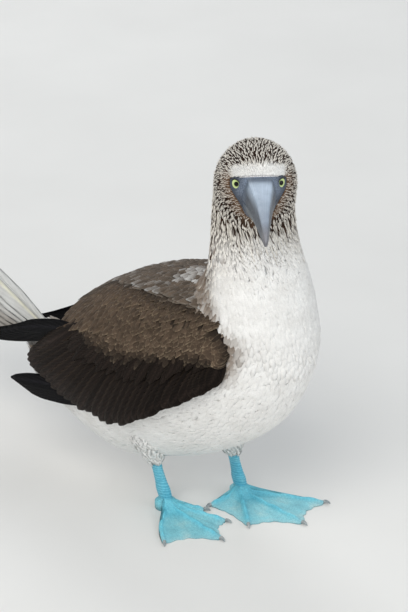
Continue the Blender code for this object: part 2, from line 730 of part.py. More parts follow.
def make_claws(foot, bird):
    """A short hooked cone ahead of each toe's end."""
    joint, tips = toe_points(foot)
    for number, tip in enumerate(tips, 1):
        along = (tip - joint) / np.linalg.norm(tip - joint)
        root = joint + (tip - joint) * TOE_SHARE + along * GAP
        across = np.array([-along[1], along[0]])
        rings = []
        for share, radius, lift in ((0, 0.0019, 0.0024), (0.4, 0.0017, 0.0028), (0.8, 0.0011, 0.0020),
                                    (1.0, 0.0005, 0.0010)):
            flat = root + along * 0.0065 * share
            phi = np.arange(8) * 2 * math.pi / 8
            rings.append(np.column_stack([flat + np.outer(np.cos(phi) * radius, across),
                                          np.maximum(lift + radius * np.sin(phi), 0.0003)]))
        loft(f"claw_{foot}_{number}", rings, "claw", bird)


# The shank's half depth and half width at shares of its length, from the ankle up
SHANK = [
    (0.0, 0.0072, 0.0058), (0.12, 0.0078, 0.0060), (0.25, 0.0066, 0.0050), (0.45, 0.0060, 0.0044),
    (0.62, 0.0068, 0.0050), (0.8, 0.0080, 0.0060), (1.0, 0.0085, 0.0065),
]


def make_leg(foot, bird):
    """The bare shank: a narrow oval tube from the foot up into the belly feathers."""
    joint = np.array([*FEET[foot][1], FOOT_HEIGHT + GAP])
    top = np.array([*(np.array(FEET[foot][3]) + SHIFT[:2]), 0.052])
    top = joint + (top - joint) * (LEG_TOP - joint[2]) / (top[2] - joint[2])
    rings = []
    for share, deep, wide in SHANK:
        middle = joint + (top - joint) * share
        phi = np.arange(14) * 2 * math.pi / 14
        rings.append(middle + np.column_stack([wide * np.cos(phi), deep * np.sin(phi), np.zeros(14)]))
    leg = loft("leg_" + foot, rings, "blue_skin", bird)
    clear = body_part("body_clear", 0, NECK_CUT, 0.5, "blue_skin", bird, grow=2 * GAP)
    apply_boolean(leg, "DIFFERENCE", clear)
    leg.data.shade_smooth()


def centre_on_floor(bird):
    """Sets the origin under the middle of the whole bird's box, on the floor."""
    bpy.context.view_layer.update()
    corners = np.array([v.co for obj in bird.objects for v in obj.data.vertices])
    middle = (corners.min(0) + corners.max(0)) / 2
    for obj in bird.objects:
        for vert in obj.data.vertices:
            vert.co -= Vector((middle[0], middle[1], 0.0))


def main():
    clear_scene()
    bird = new_collection("booby")
    body_part("torso", 0, NECK_CUT, 0.5, "white_feather", bird)
    body_part("neck", NECK_CUT, HEAD_CUT, 0.45, "speckled_feather", bird, set_off=True)
    make_head(bird)
    make_bill(bird)
    make_wing("wing_right", -1, bird)
    make_wing("wing_left", 1, bird)
    make_tail(bird)
    for foot in FEET:
        make_foot(foot, bird)
        make_claws(foot, bird)
        make_leg(foot, bird)
    centre_on_floor(bird)


main()
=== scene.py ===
"""A blue-footed booby, life size, with its skin, feathers, eyes, bill and feet.

Metres, +Z up. Shapes are worked out in the maker's own axes: the bird faces -Y, its left side is
at +X and the floor is at 0. ORIGIN then sets them where the frame has them.
"""
import math

import bpy
import numpy as np
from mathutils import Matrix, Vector


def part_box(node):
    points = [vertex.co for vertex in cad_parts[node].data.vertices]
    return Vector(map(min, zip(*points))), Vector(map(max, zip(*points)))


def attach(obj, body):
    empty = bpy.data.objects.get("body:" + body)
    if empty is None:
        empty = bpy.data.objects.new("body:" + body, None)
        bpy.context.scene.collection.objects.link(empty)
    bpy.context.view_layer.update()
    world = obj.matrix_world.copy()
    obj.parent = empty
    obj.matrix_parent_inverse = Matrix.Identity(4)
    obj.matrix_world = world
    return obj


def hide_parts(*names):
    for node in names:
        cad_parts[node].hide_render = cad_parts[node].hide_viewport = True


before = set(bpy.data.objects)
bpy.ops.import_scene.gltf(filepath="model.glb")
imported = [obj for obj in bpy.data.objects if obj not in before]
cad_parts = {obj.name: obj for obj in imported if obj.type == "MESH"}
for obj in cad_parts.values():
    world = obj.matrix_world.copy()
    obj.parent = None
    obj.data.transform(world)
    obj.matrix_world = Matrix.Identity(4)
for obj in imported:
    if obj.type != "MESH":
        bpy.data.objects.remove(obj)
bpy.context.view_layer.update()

# Body, neck and head
SHIFT = np.array([-0.008, -0.0072, 0.005])
NECK_AXIS_Y = -0.062
HEAD_YAW = math.radians(44)
HEAD_PITCH = math.radians(6)
HEAD_LEAN = (0.0011, -0.0012)
EYE_LINE = (-0.092, 0.371)
EYE_RADIUS = 0.0085
EYE_ANGLE = math.radians(47)
EYE_APEX = (0.0035, 0.0215, 0.0)
GAZE_ANGLE = math.radians(36)
GAZE_RISE = math.radians(13)
# The eyes sit a little higher than the solids' eyes, as in the photograph
EYE_RAISE = 0.0015
# Height of the brow's feather line over the line between the eyes, across the forehead's slope
BROW = 0.0068
# Up and forward parts of the direction square to the forehead, along which that height is measured
BROW_UP = 0.853
BROW_FORWARD = -0.522
BILL_BASE = 0.0113

# Sections of the torso and neck: dorsal y, z, ventral y, z, half width, rise of the widest place
TRUNK = [
    (0.204, 0.126, 0.199, 0.099, 0.024, 0.0),
    (0.172, 0.153, 0.170, 0.068, 0.046, 0.0),
    (0.132, 0.190, 0.130, 0.046, 0.061, 0.10),
    (0.088, 0.221, 0.078, 0.036, 0.071, 0.10),
    (0.050, 0.240, 0.018, 0.053, 0.075, 0.10),
    (0.018, 0.250, -0.045, 0.084, 0.073, 0.10),
    (-0.008, 0.259, -0.098, 0.129, 0.067, 0.10),
    (-0.023, 0.275, -0.124, 0.185, 0.059, 0.05),
    (-0.028, 0.295, -0.118, 0.238, 0.051, 0.0),
    (-0.028, 0.315, -0.106, 0.282, 0.0425, 0.0),
]
# Sections of the head: forward and up at the crown, the same at the throat, half width, rise
HEAD = [
    (-0.066, -0.028, 0.004, -0.052, 0.0378, 0.0),
    (-0.065, -0.008, 0.002, -0.043, 0.0375, 0.0),
    (-0.058, 0.010, 0.003, -0.038, 0.0378, 0.0),
    (-0.046, 0.023, 0.004, -0.035, 0.0368, 0.0),
    (-0.028, 0.030, 0.006, -0.033, 0.0325, 0.0),
    (-0.012, 0.0295, 0.008, -0.0315, 0.0260, 0.0),
    (0.000, 0.0245, 0.010, -0.030, 0.0203, 0.0),
    (0.006, 0.019, 0.011, -0.0285, 0.0175, 0.0),
    (0.011, 0.0135, 0.011, -0.027, 0.0162, 0.0),
]
TWIST_FROM = 7.0
TWIST_TO = 11.0
# How deep the skin lies under the tips of the feathers, at stations along the body
COAT_STATIONS = (0.0, 3.0, 8.0, 11.0, 14.0, 16.0, 18.0)
COAT_DEPTHS = (0.0040, 0.0034, 0.0034, 0.0036, 0.0030, 0.0018, 0.0010)
# Edge of the cheek's feathers on the bare face: heights in the head's axes and how far forward
CHEEK_HEIGHTS = (-0.029, -0.024, -0.0176, -0.013, -0.009, -0.006, -0.003, 0.001, 0.004, 0.009)
CHEEK_EDGE = (0.0072, 0.0082, 0.0086, 0.0068, 0.0040, 0.0012, -0.0014, -0.0030, -0.0042, -0.0052)
# The lids' section: polar angle in degrees and height over the eyeball in millimetres
LID_PROFILE = np.array([
    (37, -0.25), (37.3, 0.12), (38.5, 0.36), (41, 0.52), (44, 0.50), (48, 0.30), (52, 0.34),
    (57, 0.18), (64, -0.2), (73, -0.9), (84, -2.0), (70, -2.6), (50, -1.6), (39, -0.9),
])
# No feather grows within this reach of a point this far out along the socket's axis
LID_CENTRE = 0.0048
LID_REACH = 0.0074
# No feather grows this far inside a folded wing's outline
UNDER_WING = 0.016

# Wings
WING_DEPTH = 0.090
WING_SOFTNESS = 0.004
DROOP = {-1: 0.0, 1: 0.007}
WING_OUTLINE = [
    (-0.022, 0.235), (-0.056, 0.240), (-0.080, 0.231), (-0.084, 0.208), (-0.064, 0.181),
    (-0.022, 0.152), (0.025, 0.127), (0.071, 0.111), (0.113, 0.111), (0.150, 0.119),
    (0.165, 0.134), (0.158, 0.152), (0.140, 0.172), (0.110, 0.192), (0.066, 0.213), (0.019, 0.229),
]
WING_MIDDLE = (0.035, 0.176)
WING_BED_INSET = 0.0055
# y, z points from the wrist back and then up to the innermost feather
WING_TOPS = [
    (-0.083, 0.206), (-0.084, 0.224), (-0.070, 0.238), (-0.044, 0.238), (-0.018, 0.233), (0.008, 0.229),
    (0.034, 0.222), (0.060, 0.213), (0.078, 0.206), (0.088, 0.201), (0.094, 0.198),
]
SECONDARY_ROOTS = [
    (-0.077, 0.214), (-0.065, 0.206), (-0.042, 0.197), (-0.015, 0.188), (0.012, 0.180), (0.039, 0.174),
    (0.065, 0.172), (0.090, 0.174), (0.102, 0.181), (0.101, 0.188), (0.094, 0.194),
]
SECONDARY_TIPS = [
    (-0.070, 0.184), (-0.046, 0.165), (-0.012, 0.142), (0.021, 0.118), (0.056, 0.102), (0.093, 0.101),
    (0.131, 0.104), (0.164, 0.114), (0.188, 0.122), (0.177, 0.135), (0.165, 0.149),
]
PRIMARIES = 7
PRIMARY_HALF = 0.0088
PRIMARY_PATH = [
    (0.0725, 0.042, 0.183), (0.061, 0.0985, 0.172), (0.052, 0.138, 0.164), (0.043, 0.1805, 0.149),
    (0.036, 0.2175, 0.133), (0.031, 0.257, 0.119), (0.027, 0.320, 0.101),
]
LOBE_FEATHERS = 5
LOBE_HALF = 0.0095
LOBE_UPPER = [(0.0720, 0.062, 0.135), (0.0645, 0.132, 0.113), (0.0512, 0.2125, 0.0885)]
LOBE_LOWER = [(0.0708, 0.059, 0.123), (0.0638, 0.126, 0.1025), (0.0515, 0.192, 0.082)]

# Tail
TAIL_LIFT = math.radians(28)
TAIL_ROLL = math.radians(34)
TAIL_LENGTH = 0.19
TAIL_PAIRS = 6
TAIL_SPREAD = math.radians(2.6)
# Ovals that close the body into the tail: reach, half width and half height
TAIL_ROOT = ((0.034, 0.0070, 0.0025), (0.026, 0.0150, 0.0060), (0.012, 0.0190, 0.0090))

# Bill: forward, top height, gape height, bottom height, half widths of plate, gape and lower edge
GAP = 0.0003
# How far the tip bends to the bird's left and up, and the length over which it does
BILL_BEND = np.array([-0.0026, 0.0022])
BILL_BEND_LENGTH = 0.09
BILL = [
    (0.0000, 0.0130, -0.0095, -0.0265, 0.0122, 0.0158, 0.0095),
    (0.0120, 0.0125, -0.0093, -0.0240, 0.0104, 0.0126, 0.0076),
    (0.0280, 0.0112, -0.0088, -0.0200, 0.0080, 0.0096, 0.0056),
    (0.0460, 0.0092, -0.0080, -0.0160, 0.0057, 0.0070, 0.0038),
    (0.0640, 0.0066, -0.0071, -0.0124, 0.0039, 0.0048, 0.0026),
    (0.0770, 0.0042, -0.0064, -0.0098, 0.0027, 0.0034, 0.0018),
    (0.0850, 0.0016, -0.0058, -0.0082, 0.0018, 0.0023, 0.0013),
    (0.0897, -0.0035, -0.0072, -0.0082, 0.0006, 0.0008, 0.0006),
]

# Feet: side, joint on the floor, each toe's angle from forward towards the outside and length,
# and where the shank enters the belly
FEET = {
    "right": (-1, (-0.028, 0.024), ((48, 0.0765), (7.6, 0.090), (-15, 0.072), (-30, 0.042)),
              (-0.0293, 0.0348)),
    "left": (1, (0.0405, -0.0138), ((28.5, 0.092), (-2.6, 0.091), (-41.5, 0.068), (-97, 0.042)),
             (0.0347, -0.0092)),
}
TOE_SHARE = 0.92
TOE_WIDTH = 0.0023
TOE_RISE = 0.0042
FOOT_HEIGHT = 0.013
ANKLE = 0.0062
HEEL = 0.0105
WEB = 0.0022
WEB_DIP = 0.09
LEG_TOP = 0.085
SHANK_ENTRY = 0.052
# The shank starts this far below the foot's top
SHANK_SINK = 0.0012
# The right foot's outer toe bows out by this much in its middle
TOE_BOW = {"right": 0.0036, "left": 0.0}
TOE_COLUMNS = 9
HEEL_COLUMNS = 20
HEEL_NUMBER = 9.0
# The shank's half depth and half width at shares of its length, from the ankle up
SHANK = [
    (0.0, 0.0072, 0.0058), (0.12, 0.0078, 0.0060), (0.25, 0.0066, 0.0050), (0.45, 0.0060, 0.0044),
    (0.62, 0.0068, 0.0050), (0.8, 0.0080, 0.0060), (1.0, 0.0085, 0.0065),
]

# Colours of the plumage and the bare parts, linear red, green, blue
WHITE = np.array([0.84, 0.825, 0.80])
DOWN = np.array([0.74, 0.715, 0.69])
CREAM = np.array([0.86, 0.81, 0.73])
UMBER = np.array([0.026, 0.014, 0.009])
RUSSET = np.array([0.21, 0.13, 0.080])
MANTLE = np.array([0.110, 0.082, 0.060])
MANTLE_EDGE = np.array([0.34, 0.29, 0.24])
COVERT = np.array([0.080, 0.054, 0.036])
COVERT_EDGE = np.array([0.36, 0.27, 0.18])
FLIGHT = np.array([0.0085, 0.0058, 0.0046])
FLIGHT_EDGE = np.array([0.030, 0.021, 0.015])
PRIMARY = np.array([0.0030, 0.0028, 0.0036])
TAIL_PALE = np.array([0.60, 0.60, 0.58])
TAIL_DUSK = np.array([0.28, 0.25, 0.22])
SLATE = np.array([0.050, 0.062, 0.084])
FACE_BLUE = np.array([0.17, 0.21, 0.27])
CHIN_GREY = np.array([0.13, 0.14, 0.16])
LID_EDGE = np.array([0.012, 0.014, 0.018])
# Painted shade: the pale blue cast of the lower belly's shaded underside
BELLY_SHADE_BLUE = np.array([0.93, 0.955, 0.96])
TAIL_SHAFT = np.array([0.82, 0.80, 0.66])
UPPER_BILL_SIDE = np.array([0.055, 0.068, 0.090])
LOWER_BILL_SIDE = np.array([0.15, 0.165, 0.18])
BILL_PLATE = np.array([0.40, 0.47, 0.56])
BILL_PLATE_FRONT = np.array([0.24, 0.28, 0.34])
BILL_NAIL = np.array([0.20, 0.19, 0.20])
BILL_ROOT = np.array([0.085, 0.110, 0.150])
FOOT_TEAL = np.array([0.15, 0.52, 0.62])
WEB_TEAL = np.array([0.23, 0.56, 0.62])
WEB_RIM = np.array([0.30, 0.56, 0.60])
TOE_TEAL = np.array([0.17, 0.62, 0.74])
SHANK_BLUE = np.array([0.10, 0.43, 0.56])
SHANK_CREASE = np.array([0.21, 0.62, 0.74])
SHANK_UPPER = np.array([0.11, 0.40, 0.50])

# The photograph's view: turn from the front, tilt down, distance over the floor and height; the
# picture's height, focal length and sideways shift in pixels; the sensor's size in millimetres
CAMERA_TURN = math.radians(-48)
CAMERA_TILT = math.radians(25.5)
CAMERA_REACH = 2.078
CAMERA_HEIGHT = 1.208
PHOTO_HEIGHT = 612
PHOTO_FOCAL = 2424
PHOTO_SHIFT = 1.5
SENSOR = 36

# Light: name, place, aim, size, power and colour
AIM = (0.0, -0.05, 0.2)
LIGHTS = (
    ("key", (-1.9, -0.9, 2.4), AIM, 1.9, 58, (1.0, 0.965, 0.91)),
    ("fill", (0.8, -2.4, 1.2), AIM, 1.8, 18, (0.92, 0.96, 1.0)),
    ("front", (-1.9, -1.5, 0.55), (0.0, -0.05, 0.16), 1.6, 11, (0.96, 0.98, 1.0)),
    ("back", (1.4, 1.8, 1.9), AIM, 1.2, 26, (1, 1, 1)),
)
SKY = (0.86, 0.93, 1.0, 1.0)
SKY_STRENGTH = 0.62
EXPOSURE = -0.15


def smooth(x):
    """0 below 0, 1 above 1 and 3x^2 - 2x^3 between."""
    x = np.clip(x, 0.0, 1.0)
    return x * x * (3 - 2 * x)


def unit(v):
    """Vectors divided by their lengths."""
    return v / np.maximum(np.linalg.norm(v, axis=-1, keepdims=True), 1e-12)


def mix_scalar(a, b, f):
    """a where f is 0, b where f is 1, and a * (1 - f) + b * f between."""
    return a * (1 - f) + b * f


def mix(a, b, f):
    """The same for vectors or colours, with one f for each."""
    f = np.asarray(f)[..., None]
    return a * (1 - f) + b * f


def soft_least(a, b):
    """The lesser of a and b, rounded where they meet: (a + b - sqrt((a - b)^2 + softness^2)) / 2."""
    return (a + b - np.sqrt((a - b) ** 2 + WING_SOFTNESS ** 2)) / 2


def side_name(side):
    """The bird's right side is -1, its left side 1."""
    return "right" if side < 0 else "left"


def catmull_rom(p0, p1, p2, p3, f):
    """The cubic from p1 to p2 whose slopes there are half of p2 - p0 and half of p3 - p1."""
    return 0.5 * (2 * p1 + (p2 - p0) * f + (2 * p0 - 5 * p1 + 4 * p2 - p3) * f * f
                  + (3 * p1 - p0 - 3 * p2 + p3) * f ** 3)


def curve_at(rows, t):
    """Points at stations t of a Catmull-Rom curve through the rows, for whole arrays of t."""
    rows = np.asarray(rows, float)
    padded = np.concatenate([[2 * rows[0] - rows[1]], rows, [2 * rows[-1] - rows[-2]]])
    t = np.clip(np.asarray(t, float), 0, len(rows) - 1)
    i = np.minimum(t.astype(int), len(rows) - 2)
    f = (t - i)[..., None]
    return catmull_rom(*(padded[i + k] for k in range(4)), f)


def closed_curve_at(rows, t):
    """The same on a closed curve, t in turns of one row each."""
    rows = np.asarray(rows, float)
    n = len(rows)
    t = np.asarray(t, float) % n
    i = t.astype(int) % n
    f = (t - np.floor(t))[..., None]
    return catmull_rom(*(rows[(i + k - 1) % n] for k in range(4)), f)


def head_to_profile(forward, up):
    """y and z in the median plane, before the head turns, of a point in the head's axes."""
    c, s = math.cos(HEAD_PITCH), math.sin(HEAD_PITCH)
    return EYE_LINE[0] - forward * c - up * s, EYE_LINE[1] - forward * s + up * c


ROWS = np.array(TRUNK + [
    (*head_to_profile(f, u), *head_to_profile(g, v), width, rise) for f, u, g, v, width, rise in HEAD
])
LAST = len(ROWS) - 1.0


def turned(points, share):
    """Points turned by a share of the head's turn about the neck's axis, then set over the feet."""
    share = np.asarray(share, float)
    c, s = np.cos(HEAD_YAW * share), np.sin(HEAD_YAW * share)
    x, y = points[..., 0], points[..., 1] - NECK_AXIS_Y
    out = np.stack([x * c + y * s, y * c - x * s + NECK_AXIS_Y, points[..., 2]], -1)
    return out + SHIFT + share[..., None] * np.array([*HEAD_LEAN, 0.0])


def head_frame(points):
    """Points given as forward, left and up from between the eyes, set in the turned head."""
    points = np.asarray(points, float)
    y, z = head_to_profile(points[..., 0], points[..., 2])
    return turned(np.stack([points[..., 1], y, z], -1), np.ones(points.shape[:-1]))


def head_place(points):
    """Forward, left and up in the head's axes of points of the turned head."""
    p = points - SHIFT - np.array([*HEAD_LEAN, 0.0])
    c, s = math.cos(HEAD_YAW), math.sin(HEAD_YAW)
    x, y = p[..., 0], p[..., 1] - NECK_AXIS_Y
    left, back = x * c - y * s, x * s + y * c + NECK_AXIS_Y - EYE_LINE[0]
    up = p[..., 2] - EYE_LINE[1]
    c, s = math.cos(HEAD_PITCH), math.sin(HEAD_PITCH)
    return np.stack([-back * c - up * s, left, up * c - back * s], -1)


def above_brow(place):
    """Height over the brow's feather line of points in the head's axes."""
    return BROW_UP * place[..., 2] + BROW_FORWARD * place[..., 0] - BROW


def eye_axis(side):
    """The socket's outward direction: EYE_ANGLE round from straight ahead."""
    return np.array([math.cos(EYE_ANGLE), side * math.sin(EYE_ANGLE), 0.0])


def gaze_axis(side):
    """Where the pupil points: nearer to straight ahead than the socket, and a little up."""
    level = math.cos(GAZE_RISE)
    return np.array([math.cos(GAZE_ANGLE) * level, side * math.sin(GAZE_ANGLE) * level,
                     math.sin(GAZE_RISE)])


def eye_middle(side):
    """The globe's middle: one radius in from its outermost point, along the socket's axis."""
    return np.array([EYE_APEX[0], side * EYE_APEX[1], EYE_APEX[2]]) - eye_axis(side) * EYE_RADIUS


def frame_origin():
    """Where the frame has the maker's origin, from the place of the right eye."""
    low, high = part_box("eye_right")
    middle = (np.array([*low]) + np.array([*high])) / 2
    return middle - head_frame(eye_middle(-1))


ORIGIN = frame_origin()


def body_points(t, phi, inset=0.0):
    """Ovals round the body: middle + cos(phi) * (back - middle), half width * sin(phi)."""
    t, phi = np.broadcast_arrays(np.asarray(t, float), np.asarray(phi, float))
    dy, dz, vy, vz, width, rise = np.moveaxis(curve_at(ROWS, t), -1, 0)
    half_y, half_z = (dy - vy) / 2, (dz - vz) / 2
    scale = 1 - inset / np.hypot(half_y, half_z)
    along = (np.cos(phi) + rise * np.sin(phi) ** 2) * scale
    y, z = (dy + vy) / 2 + along * half_y, (dz + vz) / 2 + along * half_z
    share = smooth((t - TWIST_FROM) / (TWIST_TO - TWIST_FROM))
    return turned(np.stack([(width - inset) * np.sin(phi), y, z], -1), share)


def body_at(t, phi):
    """Body points, carried on straight past the first and last section."""
    step = 0.05
    t = np.asarray(t, float)
    inside = np.clip(t, 0.0, LAST)
    past = (t - inside)[..., None]
    near = np.clip(inside, step, LAST - step)
    slope = (body_points(near + step, phi) - body_points(near - step, phi)) / (2 * step)
    return body_points(inside, phi) + past * slope


def body_frame(t, phi):
    """The slopes along and round the body and the outward normal."""
    step = 0.02
    near = np.clip(t, step, LAST - step)
    along = (body_points(near + step, phi) - body_points(near - step, phi)) / (2 * step)
    around = (body_points(near, phi + step) - body_points(near, phi - step)) / (2 * step)
    return along, around, unit(np.cross(along, around))


def bare_face(points):
    """Above 0 on the bare mask of the face: how far below the brow line and ahead of the cheek's
    feathers, whichever is less."""
    place = head_place(points)
    edge = np.interp(place[..., 2], CHEEK_HEIGHTS, CHEEK_EDGE)
    return np.minimum(-above_brow(place), place[..., 0] - edge)


def fold(phi):
    """The angle from the back, 0 to pi, on either side."""
    return np.abs((phi + math.pi) % (2 * math.pi) - math.pi)


def streaking(t, phi):
    """1 where head and neck are streaked with umber, 0 on the white breast."""
    end = np.interp(fold(phi), [0.0, 0.9, 1.6, math.pi], [5.4, 6.0, 8.0, 9.5])
    return smooth((t - end) / 1.9)


def make_material(name):
    """A material with its nodes, links and main shader."""
    mat = bpy.data.materials.new(name)
    mat.use_nodes = True
    return mat, mat.node_tree.nodes, mat.node_tree.links, mat.node_tree.nodes["Principled BSDF"]


def place_in_metres(nodes):
    """Object coordinates, which are in metres."""
    return nodes.new("ShaderNodeTexCoord").outputs["Object"]


def noise(nodes, links, vector, scale, detail=3.0, rough=0.55):
    """Cloudy values round 0.5, scale clouds to the metre."""
    made = nodes.new("ShaderNodeTexNoise")
    made.inputs["Scale"].default_value = scale
    made.inputs["Detail"].default_value = detail
    made.inputs["Roughness"].default_value = rough
    links.new(vector, made.inputs["Vector"])
    return made.outputs["Fac"]


def grey_stops(low, high):
    """Stops of a ramp from one grey to another, over the middle of a noise's range."""
    return [(0.3, (low,) * 3), (0.7, (high,) * 3)]


def ramp(nodes, links, value, stops):
    """A colour for each value, straight between the stops."""
    made = nodes.new("ShaderNodeValToRGB")
    while len(made.color_ramp.elements) < len(stops):
        made.color_ramp.elements.new(0.5)
    for element, (at, colour) in zip(made.color_ramp.elements, stops):
        element.position = at
        element.color = (*colour, 1.0)
    links.new(value, made.inputs["Fac"])
    return made.outputs["Color"]


def multiply(nodes, links, share, first, second):
    """One colour multiplied by another, with a share of the full effect."""
    made = nodes.new("ShaderNodeMix")
    made.data_type = "RGBA"
    made.blend_type = "MULTIPLY"
    made.inputs[0].default_value = share
    links.new(first, made.inputs[6])
    links.new(second, made.inputs[7])
    return made.outputs[2]


def math_node(nodes, links, operation, first, second=0.0):
    """One sum on sockets or constants."""
    made = nodes.new("ShaderNodeMath")
    made.operation = operation
    for value, socket in ((first, made.inputs[0]), (second, made.inputs[1])):
        if hasattr(value, "is_linked"):
            links.new(value, socket)
        else:
            socket.default_value = value
    return made.outputs[0]


def attribute(nodes, name, output="Fac"):
    """A value that build_mesh stored at the mesh's points."""
    made = nodes.new("ShaderNodeAttribute")
    made.attribute_name = name
    return made.outputs[output]


def set_tint(nodes, links, shader, *layers):
    """The mesh's own tint, multiplied by each layer's colour with its share."""
    tint = attribute(nodes, "tint", "Color")
    for share, layer in layers:
        tint = multiply(nodes, links, share, tint, layer)
    links.new(tint, shader.inputs["Base Color"])


def set_roughness(nodes, links, shader, value, low, high):
    """A roughness that goes from low to high with the value."""
    links.new(ramp(nodes, links, value, grey_stops(low, high)), shader.inputs["Roughness"])


def set_bump(nodes, links, shader, height, distance, strength=1.0):
    """Fine relief: a height of 1 stands for distance in metres."""
    made = nodes.new("ShaderNodeBump")
    made.inputs["Strength"].default_value = strength
    made.inputs["Distance"].default_value = distance
    links.new(height, made.inputs["Height"])
    links.new(made.outputs["Normal"], shader.inputs["Normal"])


def feather_material(name, roughness, sheen, gloss, barb_depth, barb_shade):
    """The feather's own tint, crossed by fine slanting barbs and clouded by a little noise."""
    mat, nodes, links, shader = make_material(name)
    across = math_node(nodes, links, "ABSOLUTE", attribute(nodes, "across"))
    slant = math_node(nodes, links, "MULTIPLY", across, -16.0)
    run = math_node(nodes, links, "MULTIPLY", attribute(nodes, "share"), 55.0)
    wave = math_node(nodes, links, "SINE", math_node(nodes, links, "ADD", run, slant))
    space = place_in_metres(nodes)
    fine = noise(nodes, links, space, 900.0)
    broad = noise(nodes, links, space, 60.0)
    barbs = math_node(nodes, links, "MULTIPLY", wave, 0.25)
    height = math_node(nodes, links, "ADD", barbs, fine)
    shade = ramp(nodes, links, height, [(0.25, (1 - barb_shade,) * 3), (0.75, (1.0,) * 3)])
    cloud = ramp(nodes, links, broad, [(0.3, (0.86, 0.85, 0.84)), (0.7, (1.0, 1.0, 1.0))])
    set_tint(nodes, links, shader, (1.0, shade), (0.8, cloud))
    rough = nodes.new("ShaderNodeMapRange")
    rough.inputs["To Min"].default_value = roughness - 0.08
    rough.inputs["To Max"].default_value = roughness + 0.08
    links.new(fine, rough.inputs["Value"])
    links.new(rough.outputs["Result"], shader.inputs["Roughness"])
    shader.inputs["Sheen Weight"].default_value = sheen
    shader.inputs["Sheen Roughness"].default_value = 0.5
    shader.inputs["Specular IOR Level"].default_value = gloss
    set_bump(nodes, links, shader, height, barb_depth)
    return mat


def skin_material():
    """Tinted skin. On the bare face it is dark slate with pale grains and small bumps."""
    mat, nodes, links, shader = make_material("bird_skin")
    space = place_in_metres(nodes)
    cells = nodes.new("ShaderNodeTexVoronoi")
    cells.inputs["Scale"].default_value = 950.0
    links.new(space, cells.inputs["Vector"])
    broad = noise(nodes, links, space, 160.0, 4.0)
    grain = ramp(nodes, links, cells.outputs["Distance"],
                 [(0.15, (1.25, 1.25, 1.25)), (0.7, (0.55, 0.55, 0.6))])
    cloud = ramp(nodes, links, broad, [(0.3, (0.7, 0.7, 0.72)), (0.7, (1.2, 1.2, 1.2))])
    set_tint(nodes, links, shader, (0.8, grain), (0.7, cloud))
    set_roughness(nodes, links, shader, broad, 0.45, 0.65)
    height = math_node(nodes, links, "ADD", cells.outputs["Distance"], broad)
    set_bump(nodes, links, shader, height, 0.0005, 0.7)
    return mat


def bill_material():
    """Blue-grey horn: pale on the flat top, darker down the sides, browner at the nail."""
    mat, nodes, links, shader = make_material("bill_horn")
    space = place_in_metres(nodes)
    streak = attribute(nodes, "streak")
    fine = noise(nodes, links, space, 420.0, 5.0)
    broad = noise(nodes, links, space, 75.0, 3.0)
    lines = nodes.new("ShaderNodeTexNoise")
    lines.noise_dimensions = "1D"
    lines.inputs["Scale"].default_value = 26.0
    lines.inputs["Detail"].default_value = 3.0
    links.new(streak, lines.inputs["W"])
    cloud = ramp(nodes, links, broad, [(0.3, (0.80, 0.82, 0.84)), (0.7, (1.08, 1.08, 1.08))])
    pale = ramp(nodes, links, lines.outputs["Fac"], [(0.3, (0.84, 0.86, 0.88)), (0.7, (1.1, 1.1, 1.1))])
    set_tint(nodes, links, shader, (1.0, cloud), (0.9, pale))
    set_roughness(nodes, links, shader, fine, 0.34, 0.52)
    height = math_node(nodes, links, "ADD", math_node(nodes, links, "MULTIPLY", lines.outputs["Fac"], 0.8),
                       math_node(nodes, links, "MULTIPLY", fine, 0.5))
    set_bump(nodes, links, shader, height, 0.0004, 0.6)
    return mat


def blue_skin_material():
    """Turquoise leg and web skin with fine scales, pale creases and faint pink veins."""
    mat, nodes, links, shader = make_material("turquoise_skin")
    space = place_in_metres(nodes)
    scales = nodes.new("ShaderNodeTexVoronoi")
    scales.inputs["Scale"].default_value = 620.0
    links.new(space, scales.inputs["Vector"])
    broad = noise(nodes, links, space, 55.0, 4.0)
    fine = noise(nodes, links, space, 380.0, 4.0)
    grain = ramp(nodes, links, scales.outputs["Distance"], [(0.1, (1.08,) * 3), (0.75, (0.78, 0.84, 0.88))])
    cloud = ramp(nodes, links, broad,
                 [(0.30, (0.80, 0.84, 0.86)), (0.5, (1, 1, 1)), (0.72, (1.5, 1.06, 0.98))])
    set_tint(nodes, links, shader, (0.9, grain), (0.9, cloud))
    set_roughness(nodes, links, shader, fine, 0.48, 0.70)
    height = math_node(nodes, links, "SUBTRACT", math_node(nodes, links, "MULTIPLY", fine, 0.8),
                       math_node(nodes, links, "MULTIPLY", scales.outputs["Distance"], 0.6))
    set_bump(nodes, links, shader, height, 0.0005, 0.8)
    return mat


